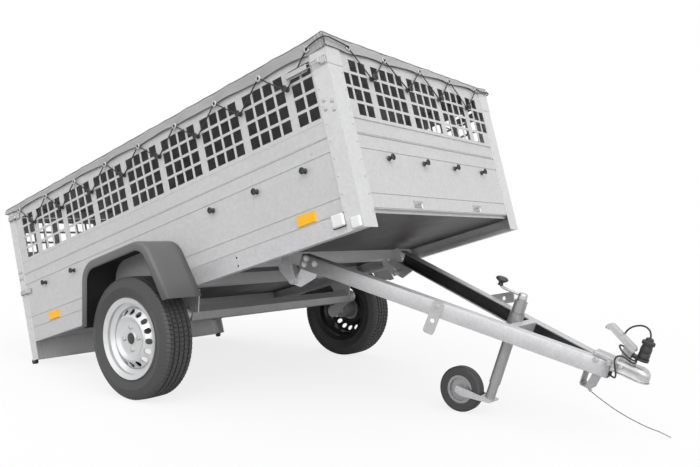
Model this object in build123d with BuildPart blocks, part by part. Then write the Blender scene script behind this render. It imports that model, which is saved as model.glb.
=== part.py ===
from build123d import *
from math import acos, atan, atan2, cos, degrees, hypot, pi, radians, sin, tan
import os

# Single-axle utility trailer with a tipping box bed, mesh side extensions and a flat cover.
# Units are millimetres. Every piece is modelled in the frame of what carries it, and is moved
# to the parked pose at the end: bed tipped back on its two rear rollers, drawbar on its jockey
# wheel.
#   bed frame      X forward from the rear face, Y left, Z up from the side rails' lower edge
#   drawbar frame  origin on the tipping pivot, X forward along the drawbar, Z up
#   wheel frame    origin at the wheel's centre, Y outward

# ---------------------------------------------------------------- bed
BED_LENGTH = 2320
BED_HALF = 663  # half the width over the corner posts
POST_T = 4  # folded corner posts
SKIN_Y = BED_HALF - POST_T  # outer face of the side walls
WALL_T = 22  # folded side, front and tail walls
INNER_Y = SKIN_Y - WALL_T
RAIL_H = 73.5
RAIL_T = 3
RAIL_FLANGE = 38
RAIL_LIP = 15
RAIL_HOLE_X = 1649
RAIL_HOLES = (19, 54)
RAIL_HOLE_R = 5
FLOOR_T = 12
FLOOR_TOP = RAIL_H
FLOOR_LOW = FLOOR_TOP - FLOOR_T
WALL_TOP = 367.7
SEAM_H = 4
SEAM_DEEP = 3
SEAMS = (  # grooves along the walls: at the rails, two pressed beads, at the mesh panels
    FLOOR_TOP + SEAM_H / 2,
    132.6,
    310.4,
    WALL_TOP - SEAM_H / 2,
)

# mesh extension above the walls
MESH_TOP = 744
MESH_T = 2.5
MESH_HEM = 20
HOLE = 48
HOLE_PITCH = 59.4
ROW_LOW = 472  # centre of the lowest row of holes
ROWS = 4
STRIP_FIRST = 244  # solid strips between the bays of holes
STRIP_PITCH = 265.5
STRIP_COUNT = 8

# corner posts
FRONT_POST_SIDE = 79
FRONT_POST_FRONT = 86
REAR_POST = 52
POST_SEAM = 631
VALANCE_LOW = -95
VALANCE_LIP = 24
TAIL_HALF = BED_HALF - REAR_POST - 5  # tailgate and mesh gate fit between the rear posts

# tailgate and mesh gate
TAIL_LOW = 76
TAIL_TOP = 360
HINGE_OUT = 6.3
HINGE_Z = 69
HINGE_R = 6
HINGE_PIN_R = 3
HINGE_LENGTH = 60
HINGE_SPOTS = (-440, 0, 440)
GATE_LOW = 374
GATE_TOP = 698
GATE_AXIS = (-6, 367)
GATE_PIN_R = 3
GATE_LUG_T = 6
HEADER_LOW = 704

# cover
COVER_T = 5
COVER_GAP = 3
SKIRT_LOW = 706

# ---------------------------------------------------------------- running gear
TYRE_R = 273.5
TYRE_W = 157
RIM_FLANGE_R = 182
BEAD_R = 166
TRACK_HALF = BED_HALF + 85  # the wheels stand outside the bed
AXLE_X = 1059  # wheel axis in the bed frame
AXLE_Z = -158
TUBE_X = 1204  # rubber-torsion axle tube
TUBE_Z = -98
TUBE_FLATS = 67
TUBE_WALL = 5
ARM_T = 18
ARM_R = 34
ARM_Y = TRACK_HALF - 136
TUBE_HALF = ARM_Y - 22
SPINDLE_R = 20
HUB_R = 44
HUB_FLANGE_R = 62
HUB_FLANGE_T = 10
VENT_COUNT = 16
VENT_R = 13
VENT_RADIUS = 117

FENDER_X = 1079  # middle of the arch in the bed frame
FENDER_OUT = TRACK_HALF + 92
FENDER_T = 4
FENDER_LIP = 42
FENDER_TOP = 236
FENDER_LOW = -50
FENDER_TOP_HALF = 230
FENDER_LOW_HALF = 320
FENDER_FILLET = 110

# ---------------------------------------------------------------- drawbar
PIVOT_X = 1722  # in the bed frame
PIVOT_Z = -72
PIVOT_BOLT_R = 8
BEAM_OUT = 414  # outer face at the pivot
BEAM_TAPER = 0.2976  # inward per unit forward
BEAM_W = 50
BEAM_H = 65
BEAM_TOP = 124
BEAM_WALL = 3
BEAM_REAR = 2
BEAM_FRONT = 1290
BEAM_GAP = 0.5  # half the gap between the beams' mitred front ends
PLATE_T = 5
LATCH_Z = 107
LATCH_BOLTS = {"left": (632, 28), "right": (610, -94)}  # X; turn above the beam's line
LATCH_WIDTH = 48
LATCH_LENGTH = 144
LATCH_EYE = 66  # from the bolt to the eye
LATCH_TAIL = 20  # from the bolt to the plate's nearer end
LATCH_T = 6
LATCH_GAP = 0.3
LATCH_HOLE_R = 10
BRIDGE_X = (880, 912)
JACK_X = 854
JACK_R = 24
JACK_WALL = 2.5
JACK_TOP = 207
JACK_STEP = -168
SLEEVE_R = 27
SLEEVE_LOW = 158
CAP_R = 20
CAP_TOP = 240
CLAMP_Z = (92, 155)
CLAMP_R = 31
CRANK_Z = 229
CRANK_REACH = 111
CRANK_R = 6
CRANK_BEND = 22
KNOB_R = 27
KNOB_Z = (250, 274)
LEG_R = 21
LEG_LOW = -236
LEG_TOP = 38
JOCKEY_R = 100
JOCKEY_W = 50
JOCKEY_TRAIL = 136
JOCKEY_Z = -259
JOCKEY_RIM_R = 62
JOCKEY_PIN_R = 8
JOCKEY_PLATE_T = 5
COUPLING_BALL = (1395, 114)
BALL_R = 25.25
COUPLING_LOW = 97
COUPLING_TOP = 144
COUPLING_R = 36
COUPLING_REAR = 1209
SKID_TOP = (1199, 1258)  # stirrup under the coupling, rear and front leg
SKID_LOW = -6
SKID_FOOT = (1200, 1247)
SKID_T = 4
SKID_HALF = 36
SKID_FLANGE = 22

# ---------------------------------------------------------------- parking
ROLLER_R = 13
ROLLER_W = 22
ROLLER_AXIS = (0, -101)  # in the bed frame

# the bed tips about the wheel axis until its rear rollers stand on the ground
_rx, _rz = ROLLER_AXIS[0] - AXLE_X, ROLLER_AXIS[1] - AXLE_Z
TIP = degrees(acos((ROLLER_R - TYRE_R) / hypot(_rx, _rz)) + atan2(_rx, _rz))
BED = (
    Location((0, 0, TYRE_R))
    * Location((0, 0, 0), (0, -TIP, 0))
    * Location((-AXLE_X, 0, -AXLE_Z))
)
PIVOT = (BED * Location((PIVOT_X, 0, PIVOT_Z))).position

# the drawbar pitches down until its jockey wheel stands on the ground
_hub = (JACK_X - JOCKEY_TRAIL, JOCKEY_Z)
PITCH = degrees(acos((JOCKEY_R - PIVOT.Z) / hypot(*_hub)) - atan2(*_hub))
DRAWBAR = Location(PIVOT) * Location((0, 0, 0), (0, PITCH, 0))
WHEELS = {
    "left": Location((0, TRACK_HALF, TYRE_R)),
    "right": Location((0, -TRACK_HALF, TYRE_R), (0, 0, 180)),
}

pieces = {}


def keep(name, part, place):
    """Move a finished piece to the parked pose and keep it under its node name."""
    pieces[name] = part.moved(place)


def block(x, y, z, mode=Mode.ADD):
    """Box between (low, high) pairs, in the part being built."""
    with Locations((x[0], y[0], z[0])):
        Box(x[1] - x[0], y[1] - y[0], z[1] - z[0], align=(Align.MIN,) * 3, mode=mode)


def rod(start, end, radius, mode=Mode.ADD):
    """Round bar between two points, in the part being built."""
    start, end = Vector(*start), Vector(*end)
    with Locations(Plane(origin=start, z_dir=end - start)):
        Cylinder(
            radius,
            (end - start).length,
            align=(Align.CENTER, Align.CENTER, Align.MIN),
            mode=mode,
        )


def side_plane(y):
    """Plane across the bed at Y, with local X forward and local Y up."""
    return Plane.XZ.offset(-y)


def mirrored(part):
    """The right-hand twin of a left-hand piece."""
    return part.mirror(Plane.XZ)


# ---------------------------------------------------------------- bed: frame and floor
with BuildPart() as side_rail:
    block((POST_T, BED_LENGTH - POST_T), (SKIN_Y - RAIL_T, SKIN_Y), (0, RAIL_H))
    block((POST_T, BED_LENGTH - POST_T), (SKIN_Y - RAIL_FLANGE, SKIN_Y), (0, RAIL_T))
    lip = SKIN_Y - RAIL_FLANGE
    block((POST_T, BED_LENGTH - POST_T), (lip, lip + RAIL_T), (0, RAIL_LIP))
    for hole_z in RAIL_HOLES:
        ends = [(RAIL_HOLE_X, SKIN_Y + reach, hole_z) for reach in (-10, 10)]
        rod(*ends, RAIL_HOLE_R, Mode.SUBTRACT)
    mirror(about=Plane.XZ)
keep("side_rails", side_rail.part, BED)

CROSS_MEMBERS = ((60, 50), (560, 50), (1250, 50), (1640, 50))  # rear face, width
CROSS_H = 50
with BuildPart() as cross_members:
    reach = SKIN_Y - RAIL_FLANGE - 1
    for rear, width in CROSS_MEMBERS:
        block((rear, rear + width), (-reach, reach), (FLOOR_LOW - CROSS_H, FLOOR_LOW))
        block(
            (rear + RAIL_T, rear + width - RAIL_T),
            (-reach, reach),
            (FLOOR_LOW - CROSS_H + RAIL_T, FLOOR_LOW - RAIL_T),
            Mode.SUBTRACT,
        )
keep("cross_members", cross_members.part, BED)

with BuildPart() as floor:
    front = BED_LENGTH - POST_T - WALL_T
    block((VALANCE_LIP, front), (-INNER_Y, INNER_Y), (FLOOR_LOW, FLOOR_TOP))
keep("floor", floor.part, BED)


def wall_section(outer, inner, low, high):
    """Upright wall section at local X from inner to outer, with its pressed beads."""
    with BuildSketch() as section:
        with Locations(((outer + inner) / 2, (low + high) / 2)):
            Rectangle(abs(outer - inner), high - low)
        step = SEAM_DEEP if outer > inner else -SEAM_DEEP
        for seam in SEAMS:
            with Locations((outer - step / 2, seam)):
                Rectangle(SEAM_DEEP, SEAM_H, mode=Mode.SUBTRACT)
    return section.sketch


with BuildPart() as side_wall:
    with BuildSketch(Plane.YZ.offset(POST_T)):
        add(wall_section(SKIN_Y, INNER_Y, FLOOR_TOP, WALL_TOP))
    extrude(amount=BED_LENGTH - 2 * POST_T)
    # the wall's foot closes the edge of the floor
    foot = (INNER_Y, SKIN_Y - RAIL_T)
    block((POST_T, BED_LENGTH - POST_T), foot, (FLOOR_LOW, FLOOR_TOP))
    mirror(about=Plane.XZ)
keep("side_walls", side_wall.part, BED)

FRONT_SKIN = BED_LENGTH - POST_T
with BuildPart() as front_wall:
    with BuildSketch(Plane.XZ):
        add(wall_section(FRONT_SKIN, FRONT_SKIN - WALL_T, FLOOR_TOP, WALL_TOP))
    extrude(amount=INNER_Y, both=True)
    foot = (FRONT_SKIN - WALL_T, FRONT_SKIN - WALL_T + POST_T)
    block(foot, (-INNER_Y, INNER_Y), (FLOOR_LOW, FLOOR_TOP))
keep("front_wall", front_wall.part, BED)

with BuildPart() as front_posts:
    block((BED_LENGTH - FRONT_POST_SIDE, BED_LENGTH), (SKIN_Y, BED_HALF), (0, POST_SEAM))
    block(
        (FRONT_SKIN, BED_LENGTH), (BED_HALF - FRONT_POST_FRONT, BED_HALF), (0, POST_SEAM)
    )
    mirror(about=Plane.XZ)
keep("front_posts", front_posts.part, BED)

CAP_OUT = 2
with BuildPart() as corner_caps:
    block(
        (BED_LENGTH - FRONT_POST_SIDE, BED_LENGTH + CAP_OUT),
        (SKIN_Y, BED_HALF + CAP_OUT),
        (POST_SEAM, MESH_TOP),
    )
    block(
        (FRONT_SKIN, BED_LENGTH + CAP_OUT),
        (BED_HALF - FRONT_POST_FRONT, BED_HALF + CAP_OUT),
        (POST_SEAM, MESH_TOP),
    )
    mirror(about=Plane.XZ)
keep("corner_caps", corner_caps.part, BED)

with BuildPart() as rear_posts:
    block((0, REAR_POST), (SKIN_Y, BED_HALF), (VALANCE_LOW, MESH_TOP))
    block((0, POST_T), (BED_HALF - REAR_POST, BED_HALF), (VALANCE_LOW, MESH_TOP))
    mirror(about=Plane.XZ)
keep("rear_posts", rear_posts.part, BED)

with BuildPart() as valance:
    reach = BED_HALF - REAR_POST
    block((0, POST_T), (-reach, reach), (VALANCE_LOW, FLOOR_TOP))
    for low in (VALANCE_LOW, FLOOR_TOP - POST_T):
        block((0, VALANCE_LIP), (-reach, reach), (low, low + POST_T))
keep("rear_valance", valance.part, BED)


# ---------------------------------------------------------------- bed: mesh extension
def row_heights():
    return [ROW_LOW + row * HOLE_PITCH for row in range(ROWS)]


def bay(centre, columns):
    """Hole columns of one bay, evenly spaced about its centre."""
    return [centre + (i - (columns - 1) / 2) * HOLE_PITCH for i in range(columns)]


def side_columns():
    bays = [STRIP_FIRST + (i + 0.5) * STRIP_PITCH for i in range(STRIP_COUNT - 1)]
    columns = [x for centre in bays for x in bay(centre, 4)]
    first, last = columns[0], columns[-1]
    gap = STRIP_PITCH - 3 * HOLE_PITCH
    rear_end = [first - gap - HOLE_PITCH, first - gap]
    front_end = [last + gap, last + gap + HOLE_PITCH]
    return rear_end + columns + front_end


def end_columns(row):
    """Columns of the front and rear mesh: the outer bays lose one in the end rows."""
    inner = [y for centre in (-STRIP_PITCH, 0, STRIP_PITCH) for y in bay(centre, 4)]
    first = inner[-1] + STRIP_PITCH - 3 * HOLE_PITCH
    count = 2 if row in (0, ROWS - 1) else 3
    outer = [first + i * HOLE_PITCH for i in range(count)]
    return inner + outer + [-y for y in outer]


with BuildPart() as side_mesh:
    with BuildSketch(side_plane(SKIN_Y)):
        with Locations((BED_LENGTH / 2, (WALL_TOP + MESH_TOP) / 2)):
            Rectangle(BED_LENGTH - 2 * POST_T, MESH_TOP - WALL_TOP)
        with Locations(*[(x, z) for x in side_columns() for z in row_heights()]):
            Rectangle(HOLE, HOLE, mode=Mode.SUBTRACT)
    extrude(amount=MESH_T)
    span = (POST_T, BED_LENGTH - POST_T)
    hem = (SKIN_Y - MESH_HEM, SKIN_Y)
    block(span, hem, (WALL_TOP, WALL_TOP + MESH_T))
    block(span, hem, (MESH_TOP - MESH_T, MESH_TOP))
    mirror(about=Plane.XZ)
keep("mesh_sides", side_mesh.part, BED)


def cross_mesh(front, half, low, high):
    """Mesh panel across the bed with its outer face at X = front."""
    with BuildPart() as panel:
        with BuildSketch(Plane.YZ.offset(front)):
            with Locations((0, (low + high) / 2)):
                Rectangle(2 * half, high - low)
            for row, z in enumerate(row_heights()):
                with Locations(*[(y, z) for y in end_columns(row)]):
                    Rectangle(HOLE, HOLE, mode=Mode.SUBTRACT)
        extrude(amount=MESH_T)
    return panel.part


with BuildPart() as front_mesh:
    add(cross_mesh(FRONT_SKIN - MESH_T, SKIN_Y - MESH_HEM, WALL_TOP, MESH_TOP))
    hem = (FRONT_SKIN - MESH_HEM, FRONT_SKIN)
    reach = SKIN_Y - MESH_HEM
    block(hem, (-reach, reach), (WALL_TOP, WALL_TOP + MESH_T))
    block(hem, (-reach, reach), (MESH_TOP - MESH_T, MESH_TOP))
keep("mesh_front", front_mesh.part, BED)

with BuildPart() as header:
    reach = SKIN_Y - MESH_HEM
    block((POST_T, POST_T + MESH_HEM), (-reach, reach), (HEADER_LOW, MESH_TOP))
keep("rear_header", header.part, BED)

# ---------------------------------------------------------------- bed: cover
with BuildPart() as cover:
    inside = BED_HALF + CAP_OUT + COVER_GAP
    front = BED_LENGTH + CAP_OUT + COVER_GAP
    block(
        (-COVER_GAP - COVER_T, front + COVER_T),
        (-inside - COVER_T, inside + COVER_T),
        (SKIRT_LOW, MESH_TOP + COVER_T),
    )
    block((-COVER_GAP, front), (-inside, inside), (SKIRT_LOW, MESH_TOP), Mode.SUBTRACT)
keep("cover", cover.part, BED)

# ---------------------------------------------------------------- tailgate
with BuildPart() as tailgate:
    with BuildSketch(Plane.XZ):
        add(wall_section(0, WALL_T, TAIL_LOW, TAIL_TOP))
    extrude(amount=TAIL_HALF, both=True)
keep("tailgate", tailgate.part, BED)

with BuildPart() as tailgate_hinges:
    for spot in HINGE_SPOTS:
        knuckle = (spot - HINGE_LENGTH / 2, spot)
        rod(
            (-HINGE_OUT, knuckle[0], HINGE_Z),
            (-HINGE_OUT, knuckle[1] - 1, HINGE_Z),
            HINGE_R,
        )
        block((-3, 0), (knuckle[0], knuckle[1] - 1), (HINGE_Z, HINGE_Z + 40))
        rod(
            (-HINGE_OUT, knuckle[0], HINGE_Z),
            (-HINGE_OUT, knuckle[1], HINGE_Z),
            HINGE_PIN_R + 0.3,
            Mode.SUBTRACT,
        )
keep("tailgate_hinges", tailgate_hinges.part, BED)

with BuildPart() as bed_hinges:
    for spot in HINGE_SPOTS:
        rod((-HINGE_OUT, spot, HINGE_Z), (-HINGE_OUT, spot + HINGE_LENGTH / 2, HINGE_Z), HINGE_R)
        rod(
            (-HINGE_OUT, spot - HINGE_LENGTH / 2, HINGE_Z),
            (-HINGE_OUT, spot + HINGE_LENGTH / 2, HINGE_Z),
            HINGE_PIN_R,
        )
        block((-3, 0), (spot, spot + HINGE_LENGTH / 2), (HINGE_Z - 40, HINGE_Z))
keep("bed_hinges", bed_hinges.part, BED)

with BuildPart() as gate:
    add(cross_mesh(0, TAIL_HALF, GATE_LOW, GATE_TOP))
    for low in (GATE_LOW, GATE_TOP - MESH_T):
        block((0, MESH_HEM), (-TAIL_HALF, TAIL_HALF), (low, low + MESH_T))
    for side in (-1, 1):
        ear = sorted((side * TAIL_HALF, side * (TAIL_HALF - 20)))
        rod((GATE_AXIS[0], ear[0], GATE_AXIS[1]), (GATE_AXIS[0], ear[1], GATE_AXIS[1]), 6)
        block((-3, 0), ear, (GATE_AXIS[1], GATE_LOW + 30))
        rod(
            (GATE_AXIS[0], ear[0], GATE_AXIS[1]),
            (GATE_AXIS[0], ear[1], GATE_AXIS[1]),
            GATE_PIN_R + 0.3,
            Mode.SUBTRACT,
        )
keep("mesh_gate", gate.part, BED)

with BuildPart() as gate_pins:
    lug = TAIL_HALF + 2
    block((-12, 0), (lug, lug + GATE_LUG_T), (GATE_AXIS[1] - 9, GATE_AXIS[1] + 9))
    rod(
        (GATE_AXIS[0], TAIL_HALF - 18, GATE_AXIS[1]),
        (GATE_AXIS[0], lug + GATE_LUG_T, GATE_AXIS[1]),
        GATE_PIN_R,
    )
    mirror(about=Plane.XZ)
keep("gate_pins", gate_pins.part, BED)


# ---------------------------------------------------------------- latches, lamps, fittings
def latch(x, y, z, length):
    """Over-centre latch lying along X on the left side: base, lever and hook."""
    rear, front = x - length / 2, x + length / 2
    with BuildPart() as part:
        block((rear, front), (y, y + 4), (z - 18, z + 18))
        block((rear, x + 10), (y + 4, y + 14), (z - 12, z + 12))
        block((x - 10, front), (y + 4, y + 9), (z - 7, z + 7))
    return part.part


SIDE_LATCHES = (  # middle along the bed, face it sits on, height, length
    (BED_LENGTH - 108, BED_HALF + CAP_OUT, 650, 200),
    (56, BED_HALF, 686, 100),
    (50, BED_HALF, 272, 92),
)
with BuildPart() as side_latches:
    for x, y, z, length in SIDE_LATCHES:
        add(latch(x, y, z, length))
    mirror(about=Plane.XZ)
keep("side_latches", side_latches.part, BED)

REFLECTORS = ((BED_LENGTH - 262, 104), (266, 104))  # middle along the bed, height
with BuildPart() as reflectors:
    for x, z in REFLECTORS:
        block((x - 46, x + 46), (SKIN_Y, SKIN_Y + 6), (z - 21, z + 21))
    mirror(about=Plane.XZ)
keep("side_reflectors", reflectors.part, BED)

MARKERS = (  # from, to along the bed; face; depth; from, to in height
    (BED_LENGTH - 134, BED_LENGTH - 80, SKIN_Y, 22, 28, 74),
    (BED_LENGTH - 48, BED_LENGTH - 5, BED_HALF, 14, 4, 45),
)
with BuildPart() as marker_lamps:
    for rear, front, face, depth, low, high in MARKERS:
        block((rear, front), (face, face + depth), (low, high))
    mirror(about=Plane.XZ)
keep("marker_lamps", marker_lamps.part, BED)

LAMP_Y = (370, 590)
LAMP_Z = (-80, 20)
LAMP_DEPTH = 46
with BuildPart() as tail_lamps:
    block((-LAMP_DEPTH, 0), LAMP_Y, LAMP_Z)
    mirror(about=Plane.XZ)
keep("tail_lamps", tail_lamps.part, BED)

NUMBER_PLATE_HALF = 260
with BuildPart() as plate:
    block((-3, 0), (-NUMBER_PLATE_HALF, NUMBER_PLATE_HALF), (-85, 25))
keep("number_plate", plate.part, BED)

HOOK_Y = 256  # rope hooks on the front wall
HOOK_Z = 100
with BuildPart() as front_hooks:
    block((FRONT_SKIN, FRONT_SKIN + 3), (HOOK_Y - 28, HOOK_Y + 28), (HOOK_Z - 14, HOOK_Z + 14))
    rod((FRONT_SKIN, HOOK_Y, HOOK_Z), (FRONT_SKIN + 26, HOOK_Y, HOOK_Z), 6)
    rod((FRONT_SKIN + 20, HOOK_Y, HOOK_Z + 6), (FRONT_SKIN + 20, HOOK_Y, HOOK_Z - 26), 5)
    mirror(about=Plane.XZ)
keep("front_hooks", front_hooks.part, BED)

with BuildPart() as rollers:
    rod(
        (ROLLER_AXIS[0], BED_HALF - ROLLER_W, ROLLER_AXIS[1]),
        (ROLLER_AXIS[0], BED_HALF, ROLLER_AXIS[1]),
        ROLLER_R,
    )
    block((0, REAR_POST), (SKIN_Y, BED_HALF), (VALANCE_LOW, 0), Mode.SUBTRACT)
    block((0, POST_T), (0, BED_HALF), (VALANCE_LOW, 0), Mode.SUBTRACT)
    mirror(about=Plane.XZ)
keep("rear_rollers", rollers.part, BED)


# ---------------------------------------------------------------- fenders
def arch(inset, low):
    """Outline of the wheel arch in the bed's X-Z plane, taken in by inset."""
    with BuildSketch() as outline:
        with BuildLine():
            Polyline(
                (FENDER_X - FENDER_LOW_HALF + inset, low),
                (FENDER_X - FENDER_TOP_HALF + 0.7 * inset, FENDER_TOP - inset),
                (FENDER_X + FENDER_TOP_HALF - 0.7 * inset, FENDER_TOP - inset),
                (FENDER_X + FENDER_LOW_HALF - inset, low),
                close=True,
            )
        make_face()
        top_corners = outline.vertices().sort_by(Axis.Y)[-2:]
        fillet(top_corners, FENDER_FILLET - inset)
    return outline.sketch


with BuildPart() as fender:
    with BuildSketch(side_plane(SKIN_Y)):
        add(arch(0, FENDER_LOW))
        add(arch(FENDER_T, FENDER_LOW - 1), mode=Mode.SUBTRACT)
    extrude(amount=-(FENDER_OUT - SKIN_Y))
    with BuildSketch(side_plane(FENDER_OUT)):
        add(arch(0, FENDER_LOW))
        add(arch(FENDER_LIP, FENDER_LOW - 1), mode=Mode.SUBTRACT)
    extrude(amount=FENDER_T)
    mirror(about=Plane.XZ)
keep("fenders", fender.part, BED)

# ---------------------------------------------------------------- axle
with BuildPart() as axle_tube:
    with BuildSketch(side_plane(-TUBE_HALF)):
        with Locations((TUBE_X, TUBE_Z)):
            RegularPolygon(TUBE_FLATS / 2, 6, major_radius=False)
            RegularPolygon(
                TUBE_FLATS / 2 - TUBE_WALL, 6, major_radius=False, mode=Mode.SUBTRACT
            )
    extrude(amount=-2 * TUBE_HALF)
keep("axle_tube", axle_tube.part, BED)

with BuildPart() as axle_brackets:
    bracket_y = TUBE_HALF - 30
    with BuildSketch(side_plane(bracket_y)):
        with BuildLine():
            Polyline(
                (TUBE_X - 80, 0),
                (TUBE_X + 80, 0),
                (TUBE_X + TUBE_FLATS / 2 + 8, TUBE_Z - 6),
                (TUBE_X - TUBE_FLATS / 2 - 8, TUBE_Z - 6),
                close=True,
            )
        make_face()
        with Locations((TUBE_X, TUBE_Z)):
            RegularPolygon(TUBE_FLATS / 2 + 0.2, 6, major_radius=False, mode=Mode.SUBTRACT)
    extrude(amount=-6)
    block((TUBE_X - 80, TUBE_X + 80), (bracket_y, SKIN_Y - 6), (-6, 0))
    mirror(about=Plane.XZ)
keep("axle_brackets", axle_brackets.part, BED)

with BuildPart() as trailing_arms:
    tube_end = Vector(TUBE_X, ARM_Y, TUBE_Z)
    wheel_end = Vector(AXLE_X, ARM_Y, AXLE_Z)
    with BuildSketch(side_plane(ARM_Y)) as lever:
        with BuildLine():
            Line((TUBE_X, TUBE_Z), (AXLE_X, AXLE_Z))
        trace(line_width=1.4 * ARM_R)
        for x, z in ((TUBE_X, TUBE_Z), (AXLE_X, AXLE_Z)):
            with Locations((x, z)):
                Circle(ARM_R)
    extrude(amount=-ARM_T)
    rod((TUBE_X, TUBE_HALF - 60, TUBE_Z), (TUBE_X, ARM_Y, TUBE_Z), TUBE_FLATS / 2 - TUBE_WALL - 1)
    rod((AXLE_X, ARM_Y, AXLE_Z), (AXLE_X, TRACK_HALF - 40, AXLE_Z), SPINDLE_R)
    mirror(about=Plane.XZ)
keep("trailing_arms", trailing_arms.part, BED)


# ---------------------------------------------------------------- wheels
def ribbon(points, thickness):
    """Closed outline of a sheet that follows the points, with mitred corners."""
    normals = []
    for (ax, ay), (bx, by) in zip(points, points[1:]):
        length = hypot(bx - ax, by - ay)
        normals.append((-(by - ay) / length, (bx - ax) / length))
    twin = []
    for i, (x, y) in enumerate(points):
        before = normals[max(i - 1, 0)]
        after = normals[min(i, len(normals) - 1)]
        scale = thickness / (1 + before[0] * after[0] + before[1] * after[1])
        twin.append((x + scale * (before[0] + after[0]), y + scale * (before[1] + after[1])))
    return list(points) + twin[::-1]


HALF_W = TYRE_W / 2
TYRE_OUTLINE = (  # radius, across: one side from the bead to the middle of the tread
    (BEAD_R, 60),
    (190, 64),
    (222, HALF_W),
    (252, 71),
    (268, 58),
    (TYRE_R, 0),
)
CARCASS_T = 11
with BuildPart() as tyre:
    with BuildSketch() as section:
        with BuildLine():
            Polyline(*[(r, y) for r, y in TYRE_OUTLINE[:-2]])
            ThreePointArc(TYRE_OUTLINE[-3], TYRE_OUTLINE[-2], (TYRE_R - 1, 48))
            Line((TYRE_R - 1, 48), (TYRE_R, 0))
            Line((TYRE_R, 0), (TYRE_R - CARCASS_T, 0))
            Polyline(
                (TYRE_R - CARCASS_T, 0),
                (TYRE_R - CARCASS_T - 3, 50),
                (246, 60),
                (222, HALF_W - CARCASS_T + 3),
                (192, 55),
                (BEAD_R, 47),
                (BEAD_R, 60),
            )
        make_face()
        mirror(about=Plane.XZ)
    revolve(axis=Axis.Y)

RIM_T = 4
BARREL = (  # radius, across: outer flange to inner flange
    (RIM_FLANGE_R, 66),
    (RIM_FLANGE_R - 14, 61),
    (162, 59),
    (162, 46),
    (143, 34),
    (143, -6),
    (160, -22),
    (162, -59),
    (RIM_FLANGE_R - 14, -61),
    (RIM_FLANGE_R, -66),
)
DISC_FACE = 47  # across, where the wheel bolts sit
DISC = ((139, 24), (131, 34), (118, 42), (106, 54), (96, 58), (88, 54), (78, 49), (66, 47), (30, 47))
with BuildPart() as rim:
    with BuildSketch():
        with BuildLine():
            Polyline(*ribbon(BARREL, -RIM_T), close=True)
        make_face()
        with BuildLine():
            Polyline(*ribbon(DISC, -RIM_T), close=True)
        make_face()
    revolve(axis=Axis.Y)
    with Locations(Plane.XZ):
        with PolarLocations(VENT_RADIUS, VENT_COUNT):
            Cylinder(VENT_R, 200, mode=Mode.SUBTRACT)

with BuildPart() as hub:
    seat = DISC_FACE - RIM_T
    rod((0, -58, 0), (0, seat - HUB_FLANGE_T, 0), HUB_R)
    rod((0, seat - HUB_FLANGE_T, 0), (0, seat, 0), HUB_FLANGE_R)
    rod((0, seat, 0), (0, DISC_FACE + 3, 0), DISC[-1][0] - 1)
    rod((0, -58, 0), (0, -39, 0), SPINDLE_R + 0.3, Mode.SUBTRACT)

for side, place in WHEELS.items():
    keep(f"tyre_{side}", tyre.part, place)
    keep(f"rim_{side}", rim.part, place)
    keep(f"hub_{side}", hub.part, place)

# ---------------------------------------------------------------- tipping pivot
PLATE_Y = BEAM_OUT + 16
EAR_T = 5
EAR_GAP = 72
EAR_X = (1664, 1690)  # under the cross-member
EAR_FRONT = (PIVOT_X + 12, FLOOR_LOW - 2)  # the outer ears also rise in front of it
SPACER_R = 14
with BuildPart() as pivot_brackets:
    under = FLOOR_LOW - CROSS_H
    rise = ((EAR_X[1], EAR_FRONT[1]), EAR_FRONT)
    for y, front in ((PLATE_Y, rise), (PLATE_Y - EAR_GAP, ())):
        with BuildSketch(side_plane(y)):
            with BuildLine():
                Polyline(
                    (EAR_X[0], under),
                    (EAR_X[1], under),
                    *front,
                    (PIVOT_X + 18, PIVOT_Z),
                    (PIVOT_X - 4, PIVOT_Z - 18),
                    (EAR_X[0], -14),
                    close=True,
                )
            make_face()
        extrude(amount=-EAR_T)
    inner_end = PLATE_Y - EAR_GAP - 8
    rod((PIVOT_X, inner_end, PIVOT_Z), (PIVOT_X, PLATE_Y + 14, PIVOT_Z), PIVOT_BOLT_R)
    rod((PIVOT_X, PLATE_Y + EAR_T, PIVOT_Z), (PIVOT_X, PLATE_Y + EAR_T + 7, PIVOT_Z), 13)
    mirror(about=Plane.XZ)
keep("pivot_brackets", pivot_brackets.part, BED)

# ---------------------------------------------------------------- drawbar
BEAM_ANGLE = degrees(atan(BEAM_TAPER))
SLANT = cos(radians(BEAM_ANGLE))
BEAM_LOW = BEAM_TOP - BEAM_H


def beam_y(x, inward=0):
    """Y of the left beam's outer face at X, moved inward by a perpendicular distance."""
    return BEAM_OUT - BEAM_TAPER * x - inward / SLANT


with BuildPart() as beam:
    # a box section, cut in front along the line where the two beams meet
    for inset, mode in ((0, Mode.ADD), (BEAM_WALL, Mode.SUBTRACT)):
        past = inset * 2
        middle = BEAM_GAP + inset
        meet = (beam_y(0, BEAM_W - inset) - middle) / BEAM_TAPER
        with BuildSketch(Plane.XY.offset(BEAM_LOW + inset)):
            with BuildLine():
                Polyline(
                    (BEAM_REAR - past, beam_y(BEAM_REAR - past, inset)),
                    (BEAM_FRONT + past, beam_y(BEAM_FRONT + past, inset)),
                    (BEAM_FRONT + past, middle),
                    (meet, middle),
                    (BEAM_REAR - past, beam_y(BEAM_REAR - past, BEAM_W - inset)),
                    close=True,
                )
            make_face()
        extrude(amount=BEAM_H - 2 * inset, mode=mode)
    mirror(about=Plane.XZ)
keep("drawbar_beams", beam.part, DRAWBAR)

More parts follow.
